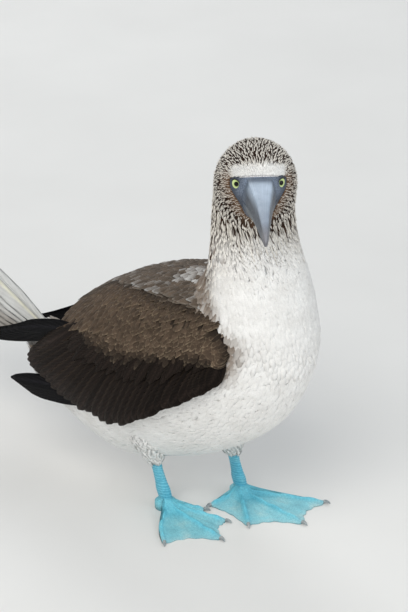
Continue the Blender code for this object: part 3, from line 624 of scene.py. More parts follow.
def eye_material():
    """Black pupil, pale yellow-green iris with a darker ring and fine rays, wet surface."""
    mat, nodes, links, shader = make_material("eye_wet")
    polar = attribute(nodes, "polar")
    rays = nodes.new("ShaderNodeTexNoise")
    rays.inputs["Scale"].default_value = 9.0
    links.new(attribute(nodes, "rays", "Vector"), rays.inputs["Vector"])
    wobble = math_node(nodes, links, "SUBTRACT", rays.outputs["Fac"], 0.5)
    wobble = math_node(nodes, links, "MULTIPLY", wobble, 0.03)
    place = math_node(nodes, links, "ADD", polar, wobble)
    iris = ramp(nodes, links, place, [
        (0.245, (0.001, 0.001, 0.001)), (0.262, (0.20, 0.26, 0.08)), (0.31, (0.50, 0.62, 0.25)),
        (0.50, (0.62, 0.73, 0.33)), (0.90, (0.62, 0.73, 0.33)),
    ])
    rim = ramp(nodes, links, attribute(nodes, "rim"), [(0.54, (1, 1, 1)), (0.60, (0.5, 0.5, 0.45)),
                                                       (0.645, (0.012, 0.012, 0.012))])
    iris = multiply(nodes, links, 1.0, iris, rim)
    streaks = ramp(nodes, links, rays.outputs["Fac"], grey_stops(0.82, 1.08))
    links.new(multiply(nodes, links, 0.8, iris, streaks), shader.inputs["Base Color"])
    shader.inputs["Roughness"].default_value = 0.22
    shader.inputs["Coat Weight"].default_value = 0.15
    shader.inputs["Specular IOR Level"].default_value = 0.2
    shader.inputs["Coat Roughness"].default_value = 0.03
    return mat


def claw_material():
    """Pale blue-grey horn with faint streaks."""
    mat, nodes, links, shader = make_material("claw_horn")
    space = place_in_metres(nodes)
    broad = noise(nodes, links, space, 300.0, 4.0)
    links.new(ramp(nodes, links, broad, [(0.3, (0.15, 0.18, 0.19)), (0.7, (0.40, 0.43, 0.43))]),
              shader.inputs["Base Color"])
    set_roughness(nodes, links, shader, broad, 0.35, 0.55)
    set_bump(nodes, links, shader, broad, 0.0003, 0.5)
    return mat


def build_mesh(name, points, groups, values=None, tint=None, uv=None, flat=None):
    """A mesh from an array of points and arrays of faces with 3, 4 or more corners each."""
    mesh = bpy.data.meshes.new(name)
    counts = np.concatenate([np.full(len(g), g.shape[1]) for g in groups])
    loops = np.concatenate([np.asarray(g).ravel() for g in groups]).astype(np.int32)
    starts = np.concatenate([[0], np.cumsum(counts)[:-1]]).astype(np.int32)
    points = points.reshape(-1, 3) + ORIGIN
    mesh.vertices.add(len(points))
    mesh.loops.add(len(loops))
    mesh.polygons.add(len(counts))
    mesh.vertices.foreach_set("co", points.astype(np.float32).ravel())
    mesh.loops.foreach_set("vertex_index", loops)
    mesh.polygons.foreach_set("loop_start", starts)
    mesh.update(calc_edges=True)
    for key, data in (values or {}).items():
        data = np.asarray(data, np.float32)
        kind = "FLOAT" if data.ndim == 1 else "FLOAT_VECTOR"
        field = "value" if data.ndim == 1 else "vector"
        mesh.attributes.new(key, kind, "POINT").data.foreach_set(field, data.ravel())
    if tint is not None:
        colour = np.ones((len(points), 4), np.float32)
        colour[:, :3] = np.clip(tint.reshape(-1, 3), 0, 1)
        mesh.attributes.new("tint", "FLOAT_COLOR", "POINT").data.foreach_set("color", colour.ravel())
    if uv is not None:
        layer = mesh.uv_layers.new(name="OFBake")
        layer.data.foreach_set("uv", uv.reshape(-1, 2)[loops].astype(np.float32).ravel())
    mesh.shade_smooth()
    if flat is not None:
        mesh.attributes.new("sharp_face", "BOOLEAN", "FACE").data.foreach_set("value", flat)
    return mesh


def add_piece(name, mesh, material, slot, *nodes_replaced):
    """One visible piece, fixed to the root body, hiding the nodes that it stands for. Its slot is not used.
    """
    obj = bpy.data.objects.new(name, mesh)
    bpy.context.scene.collection.objects.link(obj)
    mesh.materials.append(material)
    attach(obj, "root")
    if nodes_replaced:
        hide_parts(*nodes_replaced)
    return obj


def tube_faces(rings, around, flip=False):
    """Quads between rings that each close on themselves, with a flat face at both ends. flip turns
    them all over."""
    i, k = np.meshgrid(np.arange(rings - 1), np.arange(around), indexing="ij")
    m = (k + 1) % around
    quads = np.stack([i * around + k, i * around + m, (i + 1) * around + m, (i + 1) * around + k], -1)
    ring = np.arange(around)
    groups = [quads.reshape(-1, 4), ring[::-1][None], ((rings - 1) * around + ring)[None]]
    return [g[:, ::-1] for g in groups] if flip else groups


def plain_values(points):
    """The feather materials' values for the points of a bed that has no vanes."""
    count = points.shape[0] * points.shape[1]
    return {"share": np.zeros(count), "across": np.zeros(count)}


def feather_shapes(name, middles, ups, half, bow, tints, roots_uv, material, slot, replaced=(),
                   strip=False):
    """Feathers as closed thin vanes.

    middles are the shafts' points, feather by row, ups the directions away from the body, half the
    half widths. Across each row the vane is an arc: shaft + side * half * a + up * bow * half *
    (1 - a * a) for a from -1 to 1, closed below by the chord. In the baked picture each feather has
    a lane of its own with strip, else a small patch round its root's place on the body.
    """
    patch_half_width, patch_length, lane_half_width = 0.0015, 0.003, 0.42
    count, rows = half.shape
    columns = tints.shape[2]
    along = unit(np.gradient(middles, axis=1))
    sides = unit(np.cross(along, ups))
    ups = np.cross(sides, along)
    a = np.linspace(-1, 1, columns)
    arch = (1 - a * a)[:, None]
    points = (middles[:, :, None] + sides[:, :, None] * (half[:, :, None, None] * a[:, None])
              + ups[:, :, None] * (half[:, :, None, None] * bow * arch))
    base = (np.arange(count) * rows * columns)[:, None, None]
    r, c = np.meshgrid(np.arange(rows - 1), np.arange(columns), indexing="ij")
    d = (c + 1) % columns
    quad = np.stack([r * columns + c, r * columns + d, (r + 1) * columns + d, (r + 1) * columns + c], -1)
    ring = np.arange(columns)
    ends = np.stack([ring[::-1], (rows - 1) * columns + ring])
    groups = [(base + quad.reshape(1, -1, 4)).reshape(-1, 4), (base + ends[None]).reshape(-1, columns)]
    below = np.broadcast_to(c.ravel() == columns - 1, (count, c.size)).ravel()
    flat = np.concatenate([below, np.ones(2 * count, bool)])
    share = np.broadcast_to(np.linspace(0, 1, rows)[None, :, None], (count, rows, columns))
    across = np.broadcast_to(a[None, None], (count, rows, columns))
    if strip:
        lane = (np.arange(count)[:, None, None] + 0.5 + lane_half_width * across) / count
        uv = np.stack([lane, 0.01 + 0.98 * share], -1)
    else:
        uv = np.stack([roots_uv[:, None, None, 0] + patch_half_width * across,
                       roots_uv[:, None, None, 1] + patch_length * (share - 0.5)], -1)
    values = {"share": share.ravel(), "across": across.ravel()}
    mesh = build_mesh(name, points, groups, values, tints, np.clip(uv, 0.001, 0.999), flat)
    return add_piece(name, mesh, material, slot, *replaced)


def vane_tints(root, tip, edge, rows, columns, from_share=0.25, to_share=0.7, rim=0.72, shaft=None):
    """Tints of feathers: root to tip along the shaft, then an edge tint round the rim."""
    share = np.linspace(0, 1, rows)[None, :, None]
    a = np.abs(np.linspace(-1, 1, columns))[None, None, :]
    shape = (len(root), rows, columns)
    to_tip = np.broadcast_to(smooth((share - from_share) / (to_share - from_share)), shape)
    body = mix(root[:, None, None], tip[:, None, None], to_tip)
    near = np.maximum(a ** 2, (share - 0.80) * 5)
    to_edge = np.broadcast_to(smooth((near - rim) / (1 - rim)), shape)
    tint = mix(body, edge[:, None, None], to_edge)
    if shaft is not None:
        middle = np.broadcast_to((a < 0.05) & (share > 0.0), shape)
        tint = np.where(middle[..., None], shaft[:, None, None], tint)
    return tint


def spread_over(count, area, t_edges, phi_edges, seed):
    """count places with density as the area's: a low-discrepancy sequence drawn through its sums.
    The two steps are the powers -1 and -2 of the plastic number."""
    step, step_squared = 0.7548776662466927, 0.5698402909980532
    rows = area.sum(1)
    cum = np.concatenate([[0.0], np.cumsum(rows)]) / rows.sum()
    k = np.arange(count) + seed
    v, u = (0.5 + k * step) % 1.0, (0.5 + k * step_squared) % 1.0
    t = np.interp(v, cum, t_edges)
    row = np.clip(np.searchsorted(cum, v, "right") - 1, 0, len(rows) - 1)
    within = np.concatenate([np.zeros((len(rows), 1)), np.cumsum(area, 1)], 1)
    within = within / np.maximum(within[:, -1:], 1e-15) * 0.999999 + np.arange(len(rows))[:, None]
    phi = np.interp(u + row, within.ravel(), np.tile(phi_edges, len(rows)))
    return t, phi


def inside_wing(points, margin):
    """True for body points hidden by a folded wing, margin inside its outline."""
    hidden = np.zeros(points.shape[:-1], bool)
    ring = closed_curve_at(WING_OUTLINE, np.linspace(0, len(WING_OUTLINE), 64, endpoint=False))
    middle = np.array(WING_MIDDLE)
    out = ring - middle
    angle = np.arctan2(out[:, 1], out[:, 0])
    order = np.argsort(angle)
    for side in (-1, 1):
        p = points - SHIFT + np.array([0, 0, DROOP[side]])
        flat = p[..., 1:] - middle
        reach = np.interp(np.arctan2(flat[..., 1], flat[..., 0]), angle[order],
                          np.linalg.norm(out, axis=1)[order], period=2 * math.pi)
        hidden |= (side * p[..., 0] > 0) & (np.linalg.norm(flat, axis=-1) < reach - margin)
    return hidden


def grow_roots(count, t_from, t_to, weight, seed):
    """Roots spread over the body between two stations. weight gives the density wished there."""
    t_edges, phi_edges = np.linspace(t_from, t_to, 181), np.linspace(-math.pi, math.pi, 161)
    t, phi = np.meshgrid((t_edges[1:] + t_edges[:-1]) / 2, (phi_edges[1:] + phi_edges[:-1]) / 2,
                         indexing="ij")
    along, around, _ = body_frame(t, phi)
    area = np.linalg.norm(np.cross(along, around), axis=-1)
    return spread_over(count, area * weight(t, phi, body_points(t, phi)), t_edges, phi_edges, seed)


def lay_on_body(t, phi, length, rows, rise_power, extra, sway, dip=0.0):
    """Shaft points that run back over the body from the skin up to the coat's outer face, and the
    normals there. At share s of the length the height is -depth + (depth + extra) * (1 - (1 - s) **
    rise_power). sway turns the feather sideways. Soft feathers dip their tips back in."""
    along, around, _ = body_frame(t, phi)
    s = np.linspace(0, 1, rows)
    run = length / np.linalg.norm(along, axis=-1)
    side = length * sway / np.linalg.norm(around, axis=-1)
    tt, pp = t[:, None] - s * run[:, None], phi[:, None] + s * side[:, None]
    _, _, normal = body_frame(tt, pp)
    depth = np.interp(t, COAT_STATIONS, COAT_DEPTHS)[:, None]
    rise = 1 - (1 - s[None]) ** np.broadcast_to(rise_power, t.shape)[:, None]
    height = -depth + (depth + extra[:, None]) * rise
    height = height - np.broadcast_to(dip, t.shape)[:, None] * smooth((s - 0.55) / 0.45)
    return body_at(tt, pp) + normal * height[..., None], normal


def bake_place(t, phi, t_from, t_to):
    """The root's place on the skin unrolled: turn round the body and station along it."""
    u = (phi + math.pi) / (2 * math.pi)
    return np.stack([0.01 + 0.98 * u, 0.01 + 0.98 * (t - t_from) / (t_to - t_from)], -1)


def make_skin(material):
    """One skin for torso, neck, head and the tail's root, under the feathers by the coat's depth."""
    rings, around = 300, 200
    t, phi = np.meshgrid(np.linspace(0, LAST, rings),
                         np.linspace(-math.pi, math.pi, around, endpoint=False), indexing="ij")
    surface = body_points(t, phi)
    bare = smooth((bare_face(surface) + 0.0004) / 0.0012) * (t > 12)
    coat = np.interp(t, COAT_STATIONS, COAT_DEPTHS) * (1 - bare) + 0.0003
    points = body_points(t, phi, coat)
    streak = streaking(t, phi)
    tint = mix(WHITE * 0.95, UMBER * 1.4, streak)
    back = smooth((1.15 - fold(phi)) / 0.25) * smooth((t - 2.0) / 0.8) * (1 - streak)
    tint = mix(tint, MANTLE, back)
    place = head_place(surface)
    brow = above_brow(place)
    pale = smooth((0.0085 - brow) / 0.003) * (brow > -0.002) * (np.abs(place[..., 1]) < 0.024) * (t > 13)
    tint = mix(tint, WHITE * 0.9, pale)
    near_bill = smooth((place[..., 0] - 0.001) / 0.009) * smooth((place[..., 2] + 0.012) / 0.012)
    face = mix(SLATE, FACE_BLUE, near_bill)
    chin = smooth((-0.016 - place[..., 2]) / 0.008)
    face = mix(face, CHIN_GREY, chin)
    tint = mix(tint, face, bare)
    ends = tail_root_rings(phi[0])
    points = np.concatenate([ends, points])
    tint = np.concatenate([np.broadcast_to(DOWN, ends.shape), tint])
    mesh = build_mesh("skin", points, tube_faces(len(points), around), tint=tint)
    return add_piece("skin", mesh, material, "white_feather", "torso", "neck", "head")


def tail_axes():
    """Along the tail, and square to it upwards, in the median plane."""
    along = np.array([0.0, math.cos(TAIL_LIFT), math.sin(TAIL_LIFT)])
    upward = np.array([0.0, -math.sin(TAIL_LIFT), math.cos(TAIL_LIFT)])
    return along, upward


def tail_root_rings(phi):
    """Ovals that close the body into the tail, from their far end to the body."""
    along, upward = tail_axes()
    middle = body_points(0.0, np.linspace(-math.pi, math.pi, 24, endpoint=False)).mean(0)
    rings = []
    for reach, wide, high in TAIL_ROOT:
        rings.append(middle + along * reach + np.outer(np.sin(phi) * wide, [1, 0, 0])
                     + np.outer(np.cos(phi) * high, upward))
    return np.array(rings)


def not_covered(t, points):
    """0 under the wings, on the bare face and on the eyes, else 1."""
    keep = 1.0 - inside_wing(points, UNDER_WING)
    keep = keep * np.where((bare_face(points) > 0.0) & (t > 12), 0.0, 1.0)
    for side in (-1, 1):
        rim = head_frame(eye_middle(side) + eye_axis(side) * LID_CENTRE + np.array([0, 0, EYE_RAISE]))
        keep = keep * (np.linalg.norm(points - rim, axis=-1) > LID_REACH)
    return keep


def head_feathers(material):
    """Short lancet feathers, cream over dark bases, finer and whiter along the brow."""
    random = np.random.default_rng(11)

    def weight(t, phi, points):
        """Denser along the brow, on the cheeks and at the bare face's edge."""
        brow = above_brow(head_place(points))
        band = smooth((0.012 - brow) / 0.008) * (brow > 0) * (t > 14)
        cheek = smooth((t - 13.5) / 1.0) * smooth((fold(phi) - 1.0) / 0.4)
        edge = smooth((0.007 - np.abs(bare_face(points))) / 0.007) * (t > 13)
        return not_covered(t, points) * (1 + 1.6 * band + 0.7 * cheek + 1.3 * edge)

    count = 9800
    t, phi = grow_roots(count, 11.2, LAST, weight, 3)
    points = body_points(t, phi)
    place = head_place(points)
    brow = above_brow(place)
    band = smooth((0.0095 - brow) / 0.005) * smooth((place[..., 0] + 0.020) / 0.008) * (brow > -0.001)
    band = band * smooth((0.026 - np.abs(place[..., 1])) / 0.006)
    edge = smooth((0.008 - np.abs(bare_face(points))) / 0.008)
    size = 1 - 0.55 * edge - 0.12 * smooth((t - 14) / 2)
    dark = (np.arange(count) % 4 != 0) & (random.uniform(0, 1, count) > band * 1.1)
    length = np.where(dark, 0.0058, 0.0064) * size * random.uniform(0.8, 1.2, count)
    half = np.where(dark, 0.00095, 0.00072) * (0.6 + 0.4 * size) * random.uniform(0.85, 1.2, count)
    half = half * (1 + 0.25 * smooth((13.0 - t) / 2)) * (1 + 0.3 * band)
    lift = np.where(dark, -0.0004, 0.0004) * np.maximum(size, 0.35)
    extra = random.normal(0, 0.0003, count) * size + lift
    middles, ups = lay_on_body(t, phi, length, 4, 1.25, extra, random.normal(0, 0.18, count))
    widths = half[:, None] * np.array([0.55, 1.0, 0.85, 0.14])
    warm = smooth((t - 13.2) / 1.2) * smooth((fold(phi) - 1.1) / 0.5) * (1 - band)
    cream = mix(CREAM, RUSSET * 1.5, 0.45 * warm * random.uniform(0.4, 1, count))
    cream = mix(cream, WHITE * 1.08, band)
    cream = cream * random.uniform(0.92, 1.12, (count, 1))
    root = mix(UMBER * random.uniform(0.7, 1.8, (count, 1)), RUSSET, 0.75 * edge)
    root = mix(root, WHITE * 0.95, band)
    tip = np.where(dark[:, None], root * 1.2, cream)
    edge_tint = mix(tip, root, 0.12 * (1 - band))
    tints = vane_tints(root, tip, edge_tint, 4, 3, 0.38, 0.68, 0.6)
    feather_shapes("head_feathers", middles, ups, widths, 0.55, tints, bake_place(t, phi, 11.0, 18.2),
                   material, "speckled_feather")


def shoulder_share(t, phi):
    """1 beside the folded wing's upper front edge and under the mantle's side, 0 on the breast."""
    points = body_points(t, phi)
    near = sum(inside_wing(points, -margin) * 0.25 for margin in (0.004, 0.008, 0.012, 0.016))
    beside = near * smooth((points[..., 2] - 0.175) / 0.03)
    above = smooth((1.70 - fold(phi)) / 0.4) * smooth((8.2 - t) / 0.8) * smooth((t - 4.5) / 0.5)
    return np.maximum(beside, above)


def neck_feathers(material):
    """Longer lancets that run down the neck, streaked above, whiter and broader below."""
    random = np.random.default_rng(12)

    def weight(t, phi, points):
        """Denser towards the head, thin where the breast's feathers take over."""
        fade = 0.10 + 0.90 * smooth((t - 7.2) / 1.2)
        return not_covered(t, points) * (0.75 + 0.6 * smooth((t - 9.0) / 2.0)) * fade

    count = 7600
    t, phi = grow_roots(count, 7.1, 11.7, weight, 5)
    streak = streaking(t, phi)
    low = smooth((10.3 - t) / 2.4)
    dark = (np.arange(count) % 3 != 0) & (random.uniform(0, 1, count) < streak * 1.15)
    length = (0.0074 + 0.0075 * low) * random.uniform(0.85, 1.2, count)
    half = (0.00092 + 0.0032 * low * (1 - 0.6 * streak)) * random.uniform(0.85, 1.2, count)
    half = np.where(dark, half * 1.4, half)
    extra = random.normal(0.0, 0.00022, count) + np.where(dark, -0.0006, 0.0003 * streak)
    sway = random.normal(0, 0.16, count)
    middles, ups = lay_on_body(t, phi, length, 5, 1.5 + low, extra, sway, 0.0012 * low)
    widths = half[:, None] * np.array([0.5, 0.95, 1.0, 0.8, 0.14])
    white = mix(WHITE, CREAM, streak) * random.uniform(0.90, 1.04, (count, 1))
    pale_root = WHITE * random.uniform(0.90, 1.0, (count, 1))
    root = mix(pale_root, UMBER * random.uniform(0.8, 2.0, (count, 1)), streak)
    tip = np.where(dark[:, None], mix(white, root * 1.4, streak), white)
    brown = np.clip(shoulder_share(t, phi) * random.uniform(0.6, 1.4, count), 0, 1)
    root, tip = mix(root, MANTLE * 1.2, brown), mix(tip, MANTLE * 2.2, 0.8 * brown)
    edge_tint = mix(tip, root, 0.15 * streak)
    tints = vane_tints(root, tip, edge_tint, 5, 3, 0.38, 0.68, 0.6)
    feather_shapes("neck_feathers", middles, ups, widths, 0.5, tints, bake_place(t, phi, 7.0, 12.0),
                   material, "speckled_feather")


def breast_feathers(material):
    """Soft rounded white feathers on breast, flanks and belly, in two pieces."""
    random = np.random.default_rng(13)

    def weight(t, phi, points):
        """None under the mantle, thin where the neck's feathers take over."""
        under_cape = (fold(phi) < 0.75) & (t > 2.2) & (t < 7.2)
        thin = 0.15 + 0.85 * smooth((9.2 - t) / 1.1)
        return not_covered(t, points) * np.where(under_cape, 0.0, 1.0) * thin

    for name, t_from, t_to, count, seed, size in (("breast_feathers", 4.2, 9.4, 5000, 7, 1.0),
                                                  ("belly_feathers", 0.0, 4.6, 4600, 9, 1.15)):
        t, phi = grow_roots(count, t_from, t_to, weight, seed)
        length = 0.0205 * size * random.uniform(0.85, 1.15, count)
        half = 0.0046 * size * random.uniform(0.85, 1.15, count)
        extra = random.normal(0.0, 0.00004, count)
        middles, ups = lay_on_body(t, phi, length, 7, 4.0, extra, random.normal(0, 0.08, count), 0.0007)
        widths = half[:, None] * np.array([0.35, 0.8, 1.0, 1.0, 0.92, 0.70, 0.22])
        # Painted shade: tips low on the underside of the lower breast and belly are tinted pale blue, as
        # shade lit by the sky.
        low = smooth((fold(phi) - 1.9) / 0.8) * smooth((6.0 - t) / 2.0)
        root = WHITE * random.uniform(0.94, 1.0, (count, 1))
        tip = WHITE * random.uniform(0.95, 1.03, (count, 1)) * mix(np.ones(3), BELLY_SHADE_BLUE, low)
        rump = smooth((1.2 - fold(phi)) / 0.4) * smooth((t - 0.2) / 1.2)
        tip = mix(tip, MANTLE * 1.4, rump * random.uniform(0.4, 1.0, count))
        streak = streaking(t, phi) * random.uniform(0, 1.2, count)
        tip = mix(tip, MANTLE * 1.5, np.clip(streak, 0, 1))
        brown = np.clip(shoulder_share(t, phi) * random.uniform(0.6, 1.4, count), 0, 1)
        root, tip = mix(root, MANTLE * 1.2, brown), mix(tip, MANTLE * 2.0, 0.85 * brown)
        tints = vane_tints(root, tip, tip, 7, 3, 0.2, 0.7, 0.7)
        feather_shapes(name, middles, ups, widths, 0.12, tints, bake_place(t, phi, t_from - 0.1, t_to + 0.1),
                       material, "white_feather")


def wing_depth(y, z):
    """Depth of the folded wing's outer face: a bowed panel that leans over the back."""
    panel = wing_panel_depth(y, z)
    middle, half_high, half_wide = cape_oval(y)
    seat = half_wide * np.sqrt(1 - np.clip((z - middle) / half_high, 0, 0.97) ** 2)
    return soft_least(panel, seat)


def wing_panel_depth(y, z):
    """The panel alone: WING_DEPTH less squares of the way from its deepest point, and at the wrist
    less a tuck towards the breast."""
    tuck = 11.0 * np.clip(-0.060 - y, 0, 1) ** 2
    return WING_DEPTH - np.where(y < 0.02, 1.6, 0.8) * (y - 0.02) ** 2 - 3.0 * (z - 0.165) ** 2 - tuck


def cape_bend(y):
    """How fast the back's oval shrinks ahead of its highest place and behind it."""
    return np.where(y < 0.03, 1.6, 2.65)


def cape_oval(y):
    """Middle height, half height and half width of the oval over the back at each y."""
    middle = 0.158 - 0.345 * y + 0.45 * y * y
    half_high = 0.1015 - cape_bend(y) * (y - 0.03) ** 2
    half_wide = 0.0883 - 1.25 * (y - 0.025) ** 2
    return middle, half_high, half_wide


def wing_point(y, z, lift, side):
    """A point lift above the wing's face, on one side of the bird."""
    return np.stack([side * (wing_depth(y, z) + lift), y, z], -1) + SHIFT - np.array([0, 0, DROOP[side]])


def wing_normal(y, z, side):
    """Outward from the wing's face: its slopes in y and z, taken over a short step."""
    step = 0.002
    dy = (wing_depth(y + step, z) - wing_depth(y - step, z)) / (2 * step)
    dz = (wing_depth(y, z + step) - wing_depth(y, z - step)) / (2 * step)
    return unit(np.stack([side * np.ones_like(dy), -dy, -dz], -1))


def wing_bed(side, material):
    """The wing under its feathers: a lens with the wing's outline, bowed like its face."""
    around, rings = 120, 22
    rim = closed_curve_at(WING_OUTLINE, np.linspace(0, len(WING_OUTLINE), around, endpoint=False))
    share = np.linspace(0.02, 1.0, rings)
    middle = np.array(WING_MIDDLE)
    flat = middle + (rim - middle) * share[:, None, None]
    y, z = flat[..., 0], flat[..., 1]
    outer = wing_point(y, z, -WING_BED_INSET, side)
    fade = 0.0012 + 0.0088 * (1 - share[:, None] ** 2)
    inner = wing_point(y, z, -WING_BED_INSET - fade, side)
    points = np.concatenate([outer, inner[::-1]])
    groups = tube_faces(2 * rings, around, flip=side > 0)
    name = "wing_bed_" + side_name(side)
    tint = np.broadcast_to(COVERT * 0.6, points.shape)
    mesh = build_mesh(name, points, groups, plain_values(points), tint)
    add_piece(name, mesh, material, "brown_feather", "wing_" + side_name(side))


def wing_vanes(name, side, paths, half, lifts, widths, columns, tint_parts, bow, material, strip=True,
               tilt=0.0):
    """Feathers on the wing's face. paths are y, z points, feather by row, lifts their heights. tilt
    leans each vane over the next."""
    y, z = paths[..., 0], paths[..., 1]
    middles = wing_point(y, z, lifts, side)
    ups = wing_normal(y, z, side)
    if tilt:
        along = unit(np.gradient(middles, axis=1))
        ups = unit(ups + tilt * side * np.cross(along, ups))
    rows = paths.shape[1]
    root, tip, edge, shaft = tint_parts
    tints = vane_tints(root, tip, edge, rows, columns, 0.2, 0.8, 0.55, shaft)
    uv = np.stack([0.05 + 0.9 * (y[:, 0] + 0.08) / 0.27, 0.05 + 0.9 * (z[:, 0] - 0.10) / 0.14], -1)
    feather_shapes(name, middles, ups, half[:, None] * widths, bow, tints, uv, material, "brown_feather",
                   strip=strip)


def secondaries(side, material):
    """The forearm's long feathers, each over the one before, with their greater coverts."""
    random = np.random.default_rng(21)
    tag = side_name(side)
    last = len(SECONDARY_ROOTS) - 1
    count, rows = 36, 16
    t = np.linspace(0, 1, count) * last
    root, tip = curve_at(SECONDARY_ROOTS, t), curve_at(SECONDARY_TIPS, t)
    tip = tip + (tip - root) * random.uniform(-0.03, 0.05, (count, 1))
    s = np.linspace(0, 1, rows)[:, None]
    paths = root[:, None] * (1 - s) + tip[:, None] * s + np.array([-0.002, -0.003]) * 4 * s * (1 - s)
    rank = np.linspace(0, 1, count)
    base = -0.0040 + 0.0040 * smooth((rank - 0.55) / 0.45)
    lifts = base[:, None] + 0.0016 * smooth(s[:, 0] / 0.2) + 0.0006 * rank[:, None]
    half = (0.0092 - 0.0010 * rank) * random.uniform(0.95, 1.05, count)
    widths = np.interp(s[:, 0], [0, 0.1, 0.3, 0.6, 0.82, 0.93, 1.0], [0.4, 0.7, 0.95, 1.0, 0.80, 0.50, 0.10])
    # Painted light: besides random tone, shade paints the secondaries lighter from the wrist back to the
    # innermost ones.
    shade = random.uniform(0.8, 1.25, (count, 1)) * (1.0 + 0.9 * rank[:, None])
    parts = (FLIGHT * shade, FLIGHT * shade * 1.05, FLIGHT_EDGE * shade, FLIGHT * shade * 2.2)
    wing_vanes("secondaries_" + tag, side, paths, half, lifts, widths, 7, parts, 0.10, material,
               tilt=0.14)

    count, rows = 64, 9
    t = np.clip(np.linspace(0.02, 0.98, count) + random.uniform(-0.004, 0.004, count), 0, 1) * last
    root, tip = curve_at(SECONDARY_ROOTS, t), curve_at(SECONDARY_TIPS, t)
    along = unit(tip - root)
    length = 0.036 * np.minimum(1.0, 0.6 + 0.16 * t) * random.uniform(0.72, 1.28, count)
    s = np.linspace(0, 1, rows)[:, None]
    start = root - along * 0.022
    paths = start[:, None] + along[:, None] * s * length[:, None, None]
    lifts = -0.0008 + 0.0016 * smooth(s[:, 0] / 0.4) + random.uniform(-0.0004, 0.0004, (count, 1))
    half = 0.0056 * random.uniform(0.85, 1.15, count)
    widths = np.interp(s[:, 0], [0, 0.2, 0.6, 0.85, 1.0], [0.5, 0.95, 1.0, 0.62, 0.12])
    # Painted light: besides random tone, shade paints the greater coverts lighter from the wrist back.
    shade = random.uniform(0.8, 1.2, (count, 1)) * (0.75 + 0.4 * np.linspace(0, 1, count)[:, None])
    parts = (FLIGHT * 1.5 * shade, FLIGHT * 1.6 * shade, FLIGHT_EDGE * 1.3 * shade, FLIGHT * 3.0 * shade)
    wing_vanes("greater_coverts_" + tag, side, paths, half, lifts, widths, 5, parts, 0.14, material,
               tilt=0.12)


def brick_grid(random, lines, per_line):
    """Shares down and across of a grid whose odd lines are set half a place on, each shifted a
    little at random."""
    row, column = np.meshgrid(np.arange(lines), np.arange(per_line), indexing="ij")
    row, column = row.ravel(), column.ravel()
    down = np.clip((row + random.uniform(-0.3, 0.3, len(row))) / (lines - 1), 0, 1)
    across = (column + 0.5 * (row % 2) + random.uniform(-0.25, 0.25, len(row))) / per_line
    return down, across


def lesser_coverts(side, material):
    """Rows of small rounded feathers from the wing's upper edge down to the greater coverts, with painted
    light and shade.
    """
    random = np.random.default_rng(22)
    tag = side_name(side)
    down, across = brick_grid(random, 19, 48)
    count = len(down)
    t = across * (len(SECONDARY_ROOTS) - 1)
    top, root = curve_at(WING_TOPS, t), curve_at(SECONDARY_ROOTS, t)
    tip = curve_at(SECONDARY_TIPS, t)
    reach = np.linalg.norm(root - top, axis=1)
    back_off = np.minimum(0.020, 0.45 * reach)[:, None]
    foot_of = root - unit(tip - root) * back_off
    start = top * (1 - down[:, None]) + foot_of * down[:, None]
    fall = unit(root - top + np.array([0.006, -0.004]))
    along = unit(mix(fall, unit(tip - root), 0.35 + 0.65 * smooth(down)))
    along = unit(along + random.normal(0, 0.09, (count, 2)))
    length = (0.0100 + 0.0075 * down ** 1.5) * (0.70 + 0.30 * smooth((reach - 0.012) / 0.03))
    length = length * random.uniform(0.85, 1.15, count)
    s = np.linspace(0, 1, 6)[:, None]
    paths = start[:, None] + along[:, None] * s * length[:, None, None]
    lifts = -0.0018 + 0.0030 * smooth(s[:, 0] / 0.7) + random.normal(0.0, 0.0002, (count, 1))
    lifts = lifts + 0.0010 * (1 - down[:, None])
    half = (0.0030 + 0.0012 * down) * random.uniform(0.85, 1.15, count)
    widths = np.array([0.45, 0.85, 1.0, 0.95, 0.70, 0.20])
    # Painted light and shade: light paints the middle rows lighter, and the top rows under the mantle's edge
    # and the bottom rows darker. shade adds random tone to it.
    light = (0.55 + 0.75 * np.sin(math.pi * down ** 0.8) ** 0.8)[:, None]
    light = light * (0.72 + 0.28 * smooth((0.93 - down[:, None]) / 0.2))
    shade = random.uniform(0.70, 1.30, (count, 1)) * light
    edge_shade = shade * random.uniform(0.4, 1.2, (count, 1))
    parts = (COVERT * 0.5 * shade, COVERT * 0.95 * shade, COVERT_EDGE * edge_shade, None)
    wing_vanes("lesser_coverts_" + tag, side, paths, half, lifts, widths, 5, parts, 0.22, material,
               strip=False)


def hand_feathers(side, material):
    """The nested primaries with staggered tips, and the dark lobe of the hand's inner feathers."""
    tag = side_name(side)
    rows = 18
    s = np.linspace(0, 1, rows)
    middles = []
    for k in range(PRIMARIES):
        last = (1 - 0.052 * k) * (len(PRIMARY_PATH) - 1)
        step = np.array([(k - 3.0) * 0.0006, 0.0, 0.0014 * k - 0.0042])
        middles.append(curve_at(PRIMARY_PATH, last * s) + step)
    for k in range(LOBE_FEATHERS):
        f = k / (LOBE_FEATHERS - 1)
        path = np.array(LOBE_UPPER) * (1 - f) + np.array(LOBE_LOWER) * f
        middles.append(curve_at(path, s * 2) + np.array([0.0010 - 0.0005 * k, 0.0, 0.0]))
    middles = np.array(middles)
    half = np.array([PRIMARY_HALF] * PRIMARIES + [LOBE_HALF] * LOBE_FEATHERS)
    middles[..., 0] *= side
    middles = middles + SHIFT - np.array([0, 0, DROOP[side]])
    ups = np.broadcast_to(unit(np.array([side, 0.10, 0.12])), middles.shape)
    shape = np.interp(s, [0, 0.1, 0.5, 0.8, 0.93, 1.0], [0.4, 0.9, 1.0, 0.8, 0.5, 0.1])
    one = np.ones((len(middles), 1))
    tints = vane_tints(PRIMARY * one, PRIMARY * one, PRIMARY * 1.8 * one, rows, 7, 0.2, 0.8, 0.6,
                       PRIMARY * 3.5 * one)
    feather_shapes("primaries_" + tag, middles, ups, half[:, None] * shape, 0.10, tints, None, material,
                   "brown_feather", strip=True)


